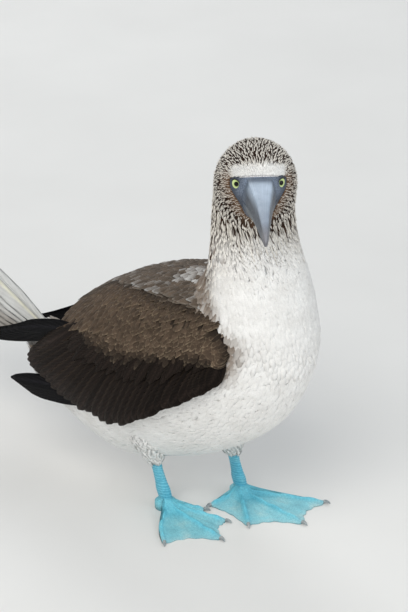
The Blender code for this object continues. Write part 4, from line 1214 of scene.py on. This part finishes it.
def cape_at(y, theta):
    """A point and normal over the back and the wings' tops, on the left side: the oval's at angle
    theta from the top, no further out than the wing's face."""
    middle, half_high, half_wide = cape_oval(y)
    z = middle + half_high * np.cos(theta)
    seat = half_wide * np.sin(theta)
    x = soft_least(wing_panel_depth(y, z), seat) + 0.001
    x = np.where(theta < 0.3, mix_scalar(seat, x, smooth(theta / 0.3)), x)
    point = np.stack([x, y, z], -1)
    normal = unit(np.stack([np.sin(theta) / half_wide, 1.6 * (y + 0.02), np.cos(theta) / half_high], -1))
    normal[..., 1] = np.clip(slope_back(y) * 0.6, -0.5, 0.8) * np.cos(theta)
    return point, unit(normal)


def slope_back(y):
    """How steeply the back falls away behind, for the cape's normals."""
    return 0.345 - 0.9 * y + 2 * cape_bend(y) * (y - 0.03)


def cape_reach(y):
    """The largest angle that the cape reaches at each y: far down beside the neck, little behind."""
    return np.interp(y, [-0.075, -0.045, 0.0, 0.05, 0.10, 0.15], [0.78, 1.12, 1.05, 0.90, 0.78, 0.72])


def mantle_line(y):
    """The angle where the pale-scaled mantle ends and the wing's brown begins."""
    return np.interp(y, [-0.065, -0.05, -0.03, -0.01, 0.01, 0.03, 0.05, 0.07, 0.10],
                     [0.75, 0.70, 0.67, 0.62, 0.58, 0.51, 0.44, 0.34, 0.16])


def mantle(material):
    """The back's scale-like feathers and the scapulars that lie over the wings' upper edges."""
    y, q = np.meshgrid(np.linspace(-0.060, 0.150, 90), np.linspace(-1, 1, 70), indexing="ij")
    theta = np.abs(q) * cape_reach(y)
    point, normal = cape_at(y, theta)
    side = np.where(q < 0, -1.0, 1.0)
    flip = np.stack([side, np.ones_like(side), np.ones_like(side)], -1)
    outer = (point - normal * 0.0030) * flip + SHIFT
    inner = (point - normal * 0.0050) * flip + SHIFT
    loop = np.concatenate([outer, inner[:, ::-1]], 1)
    groups = tube_faces(len(loop), loop.shape[1])
    tint = np.broadcast_to(MANTLE * 0.6, loop.shape)
    mesh = build_mesh("mantle_bed", loop, groups, plain_values(loop), tint)
    add_piece("mantle_bed", mesh, material, "brown_feather")

    random = np.random.default_rng(31)
    along, across = brick_grid(random, 34, 50)
    count = len(along)
    y0 = -0.074 + 0.204 * along
    q = across * 2 - 1
    side = np.where(q < 0, -1.0, 1.0)
    theta0 = np.abs(q) * cape_reach(y0)
    past = theta0 + 0.05 - mantle_line(y0 + 0.014)
    brown = smooth((past + 0.02) / 0.04)
    rim = np.exp(-((past + 0.06) / 0.07) ** 2) * (1 - brown)
    brown_length = 0.0120 + 0.0080 * smooth((along - 0.5) / 0.4)
    length = mix_scalar(0.0130 + 0.010 * along + 0.006 * rim, brown_length, brown)
    length = length * random.uniform(0.85, 1.15, count)
    s = np.linspace(0, 1, 7)
    fall = 0.20 * smooth(np.abs(q) / 0.4) + 0.85 * brown * (1 - 0.55 * smooth((along - 0.35) / 0.5))
    yy = y0[:, None] + s * (length * np.cos(fall))[:, None]
    tt = theta0[:, None] + s * (length * np.sin(fall) / 0.095)[:, None]
    point, normal = cape_at(yy, tt)
    height = -0.0022 + 0.0036 * smooth(s / 0.7) + random.normal(0, 0.00025, (count, 1))
    height = height + 0.0016 * rim[:, None] * s
    middles = point + normal * height[..., None]
    flip = np.stack([side, np.ones(count), np.ones(count)], -1)[:, None]
    middles = middles * flip + SHIFT
    middles[..., 2] -= np.where(side > 0, DROOP[1], 0.0)[:, None] * smooth((theta0 - 0.45) / 0.4)[:, None]
    ups = normal * flip
    half = mix_scalar(0.0044 + 0.0010 * along, 0.0033 + 0.0012 * along, brown)
    half = half * random.uniform(0.85, 1.15, count)
    widths = half[:, None] * np.array([0.4, 0.85, 1.0, 1.0, 0.85, 0.55, 0.15])
    near_neck = smooth((0.006 - y0) / 0.02) * smooth((np.abs(q) - 0.04) / 0.06)
    near_neck = near_neck * smooth((0.40 - np.abs(q)) / 0.1)
    chance = 0.06 + 0.80 * near_neck + 0.40 * rim * (y0 > 0.0)
    white = ((random.uniform(0, 1, count) < chance) & (brown < 0.5)).astype(float)
    white = white * random.uniform(0.4, 1, count)
    base = mix(MANTLE, COVERT * 1.15, brown) * random.uniform(0.7, 1.25, (count, 1))
    # Painted shadow: the brown feathers just past the mantle's line, under its overhanging edge, are painted
    # darker, and so are their pale edges.
    line_shadow = smooth((0.16 - past) / 0.12)
    base = base * (1 - 0.45 * brown * line_shadow)[:, None]
    tip = mix(base * 1.15, WHITE * 0.95, white * (0.25 + 0.6 * near_neck))
    pale = mix(MANTLE_EDGE, COVERT_EDGE * (1 - 0.4 * line_shadow)[:, None], brown)
    edge = mix(pale * random.uniform(0.6, 1.1, (count, 1)), WHITE, white)
    tints = vane_tints(base * 0.7, tip, edge, 7, 5, 0.2, 0.85, 0.66)
    uv = np.stack([0.05 + 0.9 * (y0 + 0.08) / 0.22, 0.5 + 0.45 * q], -1)
    feather_shapes("mantle_feathers", middles, ups, widths, 0.22, tints, uv, material, "brown_feather")


def tail_feathers(material):
    """Six pairs of long feathers on a roof's two slopes, the middle pair on top, with pale shafts."""
    along, upward = tail_axes()
    rows, columns = 20, 9
    s = np.linspace(0, 1, rows)
    ridge = body_points(0.0, 0.0) - upward * 0.0025
    middles, ups, halves, roots, tips, edges, shafts = [], [], [], [], [], [], []
    for pair in range(TAIL_PAIRS):
        for side in (-1, 1):
            slope = np.array([side * math.cos(TAIL_ROLL), 0.0, 0.0]) - math.sin(TAIL_ROLL) * upward
            outward = math.cos(TAIL_ROLL) * upward + np.array([side * math.sin(TAIL_ROLL), 0.0, 0.0])
            start = ridge + slope * (0.0030 + 0.0024 * pair) - outward * 0.0009 * pair - along * 0.004
            start = start + upward * (0.0005 if side < 0 else 0.0)
            angle = TAIL_SPREAD * pair + math.radians(1.0)
            heading = along * math.cos(angle) + slope * math.sin(angle)
            length = TAIL_LENGTH * (1 - 0.062 * pair)
            middles.append(start + np.outer(s * length, heading) - np.outer(0.010 * s * s, upward))
            ups.append(np.broadcast_to(outward, (rows, 3)))
            halves.append(0.0112 - 0.0004 * pair)
            pale = 1 - 0.85 * float(smooth((pair - 0.6) / 2.8))
            tint = TAIL_DUSK * (1 - pale) + TAIL_PALE * pale
            roots.append(tint * 1.02)
            tips.append(tint * 0.95)
            edges.append(tint * 0.92)
            shafts.append(TAIL_SHAFT * (0.6 + 0.4 * pale))
    middles, ups = np.array(middles), np.array(ups)
    shape = np.interp(s, [0, 0.08, 0.3, 0.75, 0.92, 1.0], [0.3, 0.6, 0.95, 1.0, 0.6, 0.08])
    tints = vane_tints(np.array(roots), np.array(tips), np.array(edges), rows, columns, 0.3, 1.0, 0.72,
                       np.array(shafts))
    feather_shapes("tail_feathers", middles, ups, np.array(halves)[:, None] * shape, 0.09, tints, None,
                   material, "tail_feather", replaced=("tail",), strip=True)


def tail_coverts(material):
    """Feathers round the tail's root that bend from the rump into the tail."""
    random = np.random.default_rng(41)
    count, rows = 420, 8
    along, _ = tail_axes()
    t = random.uniform(0.0, 1.3, count)
    phi = random.uniform(1.5, 2 * math.pi - 1.5, count)
    above = smooth((1.9 - fold(phi)) / 0.4)
    slope, _, normal = body_frame(t, phi)
    back = -unit(slope)
    s = np.linspace(0, 1, rows)
    length = (0.028 + 0.016 * random.uniform(0, 1, count)) * (1 - 0.25 * smooth(t))
    root = body_at(t, phi) - normal * 0.004
    turn_share = smooth(s * 1.3)[None, :, None]
    headings = unit(back[:, None] * (1 - turn_share) + along * turn_share)
    steps = headings * (length / (rows - 1))[:, None, None]
    middles = root[:, None] + np.cumsum(steps, 1) - steps[:, :1]
    rise = (0.0045 - 0.0035 * above)[:, None] * smooth(s / 0.5)
    middles = middles + normal[:, None] * rise[..., None]
    ups = np.broadcast_to(normal[:, None], middles.shape)
    half = random.uniform(0.0045, 0.0062, count)
    widths = half[:, None] * np.array([0.4, 0.8, 1.0, 1.0, 0.95, 0.8, 0.5, 0.1])
    tip = WHITE * random.uniform(0.9, 1.03, (count, 1))
    tip = mix(tip, MANTLE * 1.3, above * random.uniform(0.5, 1.0, count))
    tints = vane_tints(DOWN * np.ones((count, 1)), tip, tip, rows, 5, 0.2, 0.7, 0.7)
    feather_shapes("tail_coverts", middles, ups, widths, 0.25, tints, bake_place(t, phi, -0.1, 1.5), material,
                   "white_feather")


def upper_bill_section(row):
    """Flat culmen plate, a groove under its edge, then a side that spreads to the gape."""
    forward, top, gape, _, plate, wide, _ = row
    return forward, [
        (0.0, top), (plate * 0.55, top - 0.0002), (plate * 0.90, top - 0.0006), (plate, top - 0.0017),
        (plate * 0.93, top - 0.0031), (plate * 0.99, top - 0.0042), (wide * 0.95, (top + gape) / 2 - 0.0012),
        (wide, gape + 0.0016), (wide * 0.97, gape + 0.0003), (wide * 0.80, gape), (0.0, gape),
    ]


def lower_bill_section(row):
    """Flat under the gape, a side that narrows to the lower edge, then a rounded keel."""
    forward, _, gape, bottom, _, wide, low = row
    deep = gape - GAP
    return forward, [
        (0.0, deep), (wide * 0.78, deep), (wide * 0.92, deep - 0.0003), (wide * 0.96, deep - 0.0014),
        (wide * 0.90, (deep + bottom) / 2), (low * 1.02, bottom + 0.0015), (low * 0.6, bottom),
        (0.0, bottom - 0.0004),
    ]


def make_bill(material):
    """Both halves as lofts of mirrored sections, then smoothed by subdivision."""
    stations = np.linspace(0, len(BILL) - 1.0, 56)
    rows = curve_at(BILL, stations)
    for name, section, replaced, side_tint in (
            ("upper_bill", upper_bill_section, "bill_upper", UPPER_BILL_SIDE),
            ("lower_bill", lower_bill_section, "bill_lower", LOWER_BILL_SIDE)):
        rings, tints, streaks = [], [], []
        for row in rows:
            forward, half = section(row)
            half = np.array(half)
            ring = np.concatenate([half, half[1:-1][::-1] * np.array([-1, 1])])
            n = len(ring)
            bent = ring + BILL_BEND * (forward / BILL_BEND_LENGTH) ** 2
            rings.append(np.column_stack([np.full(n, forward + BILL_BASE), bent]))
            end = smooth((forward - 0.066) / 0.020)
            height = (ring[:, 1] - row[3]) / (row[1] - row[3])
            flat = smooth((height - 0.80) / 0.12) if name == "upper_bill" else np.zeros(n)
            plate_tint = mix(BILL_PLATE, BILL_PLATE_FRONT, smooth((forward - 0.022) / 0.045))
            tint = mix(side_tint * np.ones((n, 1)), plate_tint, flat)
            tint = mix(tint, BILL_NAIL, np.full(n, end * 0.85))
            root = smooth((0.0125 - forward) / 0.0085)
            tints.append(mix(tint, BILL_ROOT, np.full(n, root * 0.92)))
            streaks.append(np.arange(n) / n * 3.0 + 0.2 * forward * 10)
        rings = np.array(rings)
        groups = tube_faces(len(rings), rings.shape[1], flip=True)
        mesh = build_mesh(name, head_frame(rings), groups, {"streak": np.concatenate(streaks)},
                          np.array(tints))
        obj = add_piece(name, mesh, material, "bill", replaced)
        sub = obj.modifiers.new("smooth", "SUBSURF")
        sub.levels = sub.render_levels = 2


def make_eyes(eye_mat, lid_mat):
    """Each eyeball is a globe round its own axis with a slight cornea, and lids ring it."""
    around, rings = 72, 60
    turn = np.arange(around) * 2 * math.pi / around
    for side in (-1, 1):
        tag = side_name(side)
        axis = eye_axis(side)
        across = np.array([-axis[1], axis[0], 0.0])
        up = np.array([0.0, 0.0, 1.0])
        ring_dir = np.outer(np.cos(turn), across) + np.outer(np.sin(turn), up)
        polar = np.concatenate([np.linspace(0.004, 0.8, 44), np.linspace(0.86, math.pi - 0.02, rings - 44)])
        radius = EYE_RADIUS - 0.0001 + 0.00045 * np.exp(-(polar / 0.42) ** 2)
        globe = (axis * (np.cos(polar) * radius)[:, None, None]
                 + ring_dir[None] * (np.sin(polar) * radius)[:, None, None])
        middle = eye_middle(side) + np.array([0.0, 0.0, EYE_RAISE])
        place = head_frame(middle + globe)
        groups = tube_faces(rings, around, flip=side > 0)
        rays = np.stack([np.cos(turn) * 3, np.sin(turn) * 3, 0 * turn], -1)
        rays = np.broadcast_to(rays[None], globe.shape)
        rays = rays + polar[:, None, None] * np.array([0.0, 0.0, 0.8])
        from_gaze = np.arccos(np.clip(unit(globe) @ gaze_axis(side), -1, 1))
        values = {"polar": from_gaze.ravel(), "rim": np.repeat(polar, around),
                  "rays": rays.reshape(-1, 3)}
        mesh = build_mesh("eyeball_" + tag, place, groups, values)
        add_piece("eyeball_" + tag, mesh, eye_mat, "eye", "eye_" + tag)

        degrees, rise = LID_PROFILE.T
        top = np.clip(np.sin(turn), 0, 1)[:, None] ** 2
        angle = np.radians(degrees[None] - 1.5 * top * np.clip((60 - degrees) / 26, 0, 1))
        height = EYE_RADIUS + rise[None] * 0.001 * (1 + 0.4 * top)
        ring = (axis * (np.cos(angle) * height)[..., None]
                + ring_dir[:, None] * (np.sin(angle) * height)[..., None])
        place = head_frame(middle + ring)
        n = len(LID_PROFILE)
        i, k = np.meshgrid(np.arange(around), np.arange(n), indexing="ij")
        j, m = (i + 1) % around, (k + 1) % n
        quads = np.stack([i * n + k, j * n + k, j * n + m, i * n + m], -1).reshape(-1, 4)
        if side < 0:
            quads = quads[:, ::-1]
        rim = smooth((45 - degrees) / 4)[None, :] * np.ones((around, 1))
        mesh = build_mesh("eyelids_" + tag, place, [quads], tint=mix(SLATE, LID_EDGE, rim))
        add_piece("eyelids_" + tag, mesh, lid_mat, "bill")


def toe_tips(foot):
    """The joint on the floor and the four toes' ends, each at its angle and length from the joint."""
    side, joint, toes, _ = FEET[foot]
    joint = np.array(joint)
    angles, lengths = np.radians([a for a, _ in toes]), np.array([length for _, length in toes])
    tips = joint + np.column_stack([side * lengths * np.sin(angles), -lengths * np.cos(angles)])
    return joint, tips


def make_foot(foot, material):
    """A fan of columns from the joint: four rounded toes with knuckles, folded webs between them,
    and a short heel behind. The top's height is the web's, plus the toe's arch, plus the ankle."""
    joint, tips = toe_tips(foot)
    fan = -FEET[foot][0]
    ends = joint + (tips - joint) * TOE_SHARE
    rows, web_columns = 56, 20
    share = np.linspace(0.09, 1.0, rows)[:, None]
    flat, ridge, fold_at, number = [], [], [], []
    for i in range(4):
        reach = ends[i] - joint
        across = np.array([-reach[1], reach[0]]) / np.linalg.norm(reach) * fan
        width = TOE_WIDTH * np.minimum(1.0, share / 0.4)
        for a in np.linspace(-1, 1, TOE_COLUMNS):
            bulge = TOE_BOW[foot] * np.sin(math.pi * np.clip((share - 0.25) / 0.75, 0, 1)) * (i == 0)
            flat.append(joint + reach * share + across * (width * a - bulge))
            ridge.append(np.sqrt(1 - 0.92 * a * a) * np.ones(rows))
            fold_at.append(np.zeros(rows))
            number.append(np.full(rows, float(i)))
        if i < 3:
            other = ends[i + 1] - joint
            other_across = np.array([-other[1], other[0]]) / np.linalg.norm(other) * fan
            start, stop = flat[-1], joint + other * share - other_across * width
            for k in range(1, web_columns):
                f = k / web_columns
                dip = 1 - WEB_DIP * math.sin(math.pi * f) * share
                dip = dip + 0.012 * share ** 3 * math.sin(f * 23 + i)
                flat.append(joint + (start * (1 - f) + stop * f - joint) * dip)
                ridge.append(np.full(rows, 0.25 * math.exp(-(min(f, 1 - f) / 0.08) ** 2)))
                fold_at.append(np.sin(f * math.pi * 5 + 0.8 * i) * math.sin(math.pi * f) * np.ones(rows))
                number.append(np.full(rows, i + f))
    flat = np.stack(flat, 1)
    ridge, folds, number = np.stack(ridge, 1), np.stack(fold_at, 1), np.stack(number, 1)
    first, last = flat[:, 0] - joint, flat[:, -1] - joint
    a0, a1 = np.arctan2(first[:, 1], first[:, 0]), np.arctan2(last[:, 1], last[:, 0])
    a0 = np.where((fan > 0) & (a0 < a1), a0 + 2 * math.pi, a0)
    a0 = np.where((fan < 0) & (a0 > a1), a0 - 2 * math.pi, a0)
    back = np.linspace(0, 1, HEEL_COLUMNS + 2)[1:-1]
    angle = a1[:, None] * (1 - back) + a0[:, None] * back
    wide = HEEL * share
    heel = joint + wide[..., None] * np.stack([np.cos(angle), np.sin(angle)], -1)
    flat = np.concatenate([flat, heel], 1)
    ridge = np.concatenate([ridge, np.full((rows, HEEL_COLUMNS), 0.3)], 1)
    folds = np.concatenate([folds, np.zeros((rows, HEEL_COLUMNS))], 1)
    number = np.concatenate([number, np.full((rows, HEEL_COLUMNS), HEEL_NUMBER)], 1)
    s = np.broadcast_to(share, ridge.shape)
    knuckle = 1 + 0.22 * np.cos(s * 2 * math.pi * 3.5) * smooth((s - 0.25) / 0.2)
    high = WEB * (1 - 0.45 * smooth((s - 0.8) / 0.2)) + ridge * TOE_RISE * knuckle * (1 - 0.45 * s)
    high = high + 0.00045 * folds * smooth((s - 0.15) / 0.3)
    distance = np.linalg.norm(flat - joint, axis=-1)
    ankle = FOOT_HEIGHT * np.exp(-(distance / 0.0135) ** 2) * (1 + 0.03 * np.cos(distance * 3500))
    high = np.maximum(high, ankle)
    high = np.where(s < 0.1, FOOT_HEIGHT, high)
    flat[0] = joint + (flat[0] - joint) / distance[0][:, None] * ANKLE
    top = np.concatenate([flat, high[..., None]], -1)
    bottom = np.concatenate([flat, np.zeros((*high.shape, 1))], -1)
    loop = np.concatenate([top, bottom[::-1]])
    groups = tube_faces(len(loop), loop.shape[1], flip=fan > 0)
    on_web = 1 - np.clip(ridge * 1.4, 0, 1)
    tint = mix(FOOT_TEAL, WEB_TEAL, on_web * smooth((s - 0.2) / 0.3))
    tint = mix(tint, WEB_RIM, 0.7 * smooth((s - 0.88) / 0.12) * (number < HEEL_NUMBER))
    tint = mix(tint, TOE_TEAL, 0.6 * np.clip(ridge, 0, 1) * (s < 0.9))
    # Painted shade: the sole is a darker copy of the top's tint, so the foot's sides darken towards the
    # floor.
    tint = np.concatenate([tint, tint[::-1] * 0.7])
    mesh = build_mesh("webbed_foot_" + foot, loop, groups, tint=tint)
    add_piece("webbed_foot_" + foot, mesh, material, "blue_skin", "foot_" + foot)


def shank_line(foot, height):
    """Where the shank leaves the foot, at a height, and where it enters the belly."""
    _, joint, _, entry = FEET[foot]
    return np.array([*joint, height]), np.array([*(np.array(entry) + SHIFT[:2]), SHANK_ENTRY])


def make_leg(foot, material):
    """The shank: ovals from the ankle up, ringed by wrinkles that fade towards the belly."""
    joint, top = shank_line(foot, FOOT_HEIGHT - SHANK_SINK)
    top = joint + (top - joint) * (LEG_TOP - joint[2]) / (top[2] - joint[2])
    rows, around = 150, 48
    s = np.linspace(0, 1, rows)
    table = np.array(SHANK)
    t = np.interp(s, table[:, 0], np.arange(len(table)))
    deep, wide = curve_at(table, t)[:, 1], curve_at(table, t)[:, 2]
    phi = np.arange(around) * 2 * math.pi / around
    front = np.clip(-np.sin(phi), 0, 1)[None]
    wave = np.sin(s[:, None] * 2 * math.pi * 24 + 1.2 * np.cos(phi)[None] + 0.8 * np.sin(s[:, None] * 40))
    wrinkle = 0.00022 * wave * (0.35 + 0.65 * front) * (1 - smooth((s[:, None] - 0.55) / 0.3))
    ridge_back = 0.0006 * np.exp(-((phi[None] - math.pi / 2) / 0.35) ** 2)
    grow = wrinkle + ridge_back
    ring = np.stack([(wide[:, None] + grow) * np.cos(phi), (deep[:, None] + grow) * np.sin(phi),
                     np.zeros((rows, around))], -1)
    points = joint + (top - joint) * s[:, None, None] + ring
    crease = smooth((wave - 0.2) / 0.8) * (1 - smooth((s[:, None] - 0.5) / 0.3))
    tint = mix(SHANK_BLUE, SHANK_CREASE, 0.8 * crease)
    tint = mix(tint, SHANK_UPPER, 0.6 * smooth((s - 0.5) / 0.4)[:, None] * np.ones(around))
    mesh = build_mesh("shank_" + foot, points, tube_faces(rows, around), tint=tint)
    add_piece("shank_" + foot, mesh, material, "blue_skin", "leg_" + foot)


def thigh_feathers(material):
    """A short sleeve of feathers where each leg leaves the belly, on a cone round the shank."""
    random = np.random.default_rng(51)
    count, rows = 860, 6
    lowest, tall = 0.010, 0.042
    turn_step, height_step = 0.6180339887, 0.7548776662
    for foot in FEET:
        joint, top = shank_line(foot, FOOT_HEIGHT)
        axis = unit(top - joint)
        k = np.arange(count)
        phi = 2 * math.pi * ((k * turn_step) % 1.0)
        high = lowest + tall * ((k * height_step) % 1.0)
        out = np.stack([np.cos(phi), np.sin(phi), np.zeros(count)], -1)
        cone = 0.0072 + 0.42 * np.minimum(high - lowest, 0.026) + random.normal(0, 0.0002, count)
        root = top + axis * high[:, None] + out * cone[:, None]
        length = random.uniform(0.0100, 0.0135, count)
        s = np.linspace(0, 1, rows)
        heading = unit(-axis - out * 0.24 + random.normal(0, 0.05, (count, 3)))
        bend = out[:, None] * (0.0024 * smooth(s / 0.5) - 0.0022 * smooth((s - 0.5) / 0.5))[None, :, None]
        middles = root[:, None] + heading[:, None] * (s * length[:, None])[..., None] + bend
        ups = np.broadcast_to(out[:, None], middles.shape)
        half = random.uniform(0.0021, 0.0030, count)
        widths = half[:, None] * np.array([0.6, 1.0, 1.0, 0.85, 0.6, 0.15])
        tip = WHITE * random.uniform(0.94, 1.02, (count, 1)) * np.array([0.97, 0.99, 0.99])
        tints = vane_tints(WHITE * 0.96 * np.ones((count, 1)), tip, tip, rows, 3)
        uv = np.stack([0.05 + 0.9 * phi / (2 * math.pi), 0.05 + 0.9 * (high - lowest) / tall], -1)
        feather_shapes("thigh_feathers_" + foot, middles, ups, widths, 0.16, tints, uv, material,
                       "white_feather")


def make_stage():
    """A plain pale floor that curves up into a backdrop far behind."""
    mesh = bpy.data.meshes.new("floor")
    half_width, back, bend, top = 14.0, 2.5, 1.2, 4.0
    turn = np.linspace(0.1, math.pi / 2, 12)
    y = np.concatenate([np.linspace(-half_width, back, 8), back + bend * np.sin(turn), [3.7]])
    z = np.concatenate([np.zeros(8), bend - bend * np.cos(turn), [top]])
    mesh.from_pydata([(x, a, b) for x in (-half_width, half_width) for a, b in zip(y, z)], [],
                     [(i, i + 1, len(y) + i + 1, len(y) + i) for i in range(len(y) - 1)])
    mesh.shade_smooth()
    floor = bpy.data.objects.new("floor", mesh)
    floor.rotation_euler = (0, 0, math.radians(-48))
    bpy.context.scene.collection.objects.link(floor)
    mat, nodes, links, shader = make_material("pale_floor")
    space = place_in_metres(nodes)
    cloud = noise(nodes, links, space, 3.0)
    links.new(ramp(nodes, links, cloud, [(0.3, (0.70, 0.69, 0.67)), (0.7, (0.74, 0.73, 0.71))]),
              shader.inputs["Base Color"])
    shader.inputs["Roughness"].default_value = 0.9
    mesh.materials.append(mat)


def add_area(name, where, aim, size, power, colour):
    """A square lamp that looks at aim."""
    light = bpy.data.lights.new(name, "AREA")
    light.size = size
    light.energy = power
    light.color = colour
    obj = bpy.data.objects.new(name, light)
    obj.location = where
    obj.rotation_euler = (Vector(aim) - Vector(where)).to_track_quat("-Z", "Y").to_euler()
    bpy.context.scene.collection.objects.link(obj)


def make_light():
    """An even pale sky and the four lamps of LIGHTS."""
    world = bpy.data.worlds.new("studio")
    world.use_nodes = True
    world.node_tree.nodes["Background"].inputs[0].default_value = SKY
    world.node_tree.nodes["Background"].inputs[1].default_value = SKY_STRENGTH
    bpy.context.scene.world = world
    for lamp in LIGHTS:
        add_area(*lamp)


def make_camera():
    """The photograph's view: 48 degrees round from the front, looking 25.5 degrees down."""
    across, ahead = math.sin(CAMERA_TURN), -math.cos(CAMERA_TURN)
    level = math.cos(CAMERA_TILT)
    back = Vector((across * level, ahead * level, math.sin(CAMERA_TILT)))
    camera = bpy.data.cameras.new("camera")
    camera.lens = PHOTO_FOCAL / PHOTO_HEIGHT * SENSOR
    camera.sensor_width = SENSOR
    camera.shift_x = PHOTO_SHIFT / PHOTO_HEIGHT
    obj = bpy.data.objects.new("camera", camera)
    obj.location = Vector((CAMERA_REACH * across, CAMERA_REACH * ahead, CAMERA_HEIGHT)) + Vector(ORIGIN)
    obj.rotation_mode = "QUATERNION"
    obj.rotation_quaternion = back.to_track_quat("Z", "Y")
    camera.clip_start, camera.clip_end = 0.05, 20
    bpy.context.scene.collection.objects.link(obj)
    bpy.context.scene.camera = obj


def main():
    """Every piece in turn, then the claws' material, the floor, the light and the camera."""
    soft_white = feather_material("white_down", 0.85, 0.10, 0.10, 0.00003, 0.07)
    speckled = feather_material("streaked_lancets", 0.80, 0.0, 0.10, 0.00008, 0.10)
    brown = feather_material("brown_vanes", 0.62, 0.0, 0.12, 0.0004, 0.30)
    dark = feather_material("dark_vanes", 0.56, 0.0, 0.05, 0.0004, 0.30)
    pale = feather_material("pale_tail_vanes", 0.60, 0.05, 0.15, 0.0004, 0.10)
    skin = skin_material()
    blue = blue_skin_material()
    make_skin(skin)
    head_feathers(speckled)
    neck_feathers(speckled)
    breast_feathers(soft_white)
    for side in (-1, 1):
        wing_bed(side, brown)
        secondaries(side, dark)
        lesser_coverts(side, brown)
        hand_feathers(side, dark)
    mantle(brown)
    tail_feathers(pale)
    tail_coverts(soft_white)
    make_bill(bill_material())
    make_eyes(eye_material(), skin)
    for foot in FEET:
        make_foot(foot, blue)
        make_leg(foot, blue)
    thigh_feathers(soft_white)
    claw = claw_material()
    for foot in FEET:
        for number in (1, 2, 3, 4):
            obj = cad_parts[f"claw_{foot}_{number}"]
            for slot in obj.material_slots:
                slot.material = claw
    make_stage()
    make_light()
    make_camera()
    bpy.context.scene.view_settings.view_transform = "Standard"
    bpy.context.scene.view_settings.exposure = EXPOSURE


main()
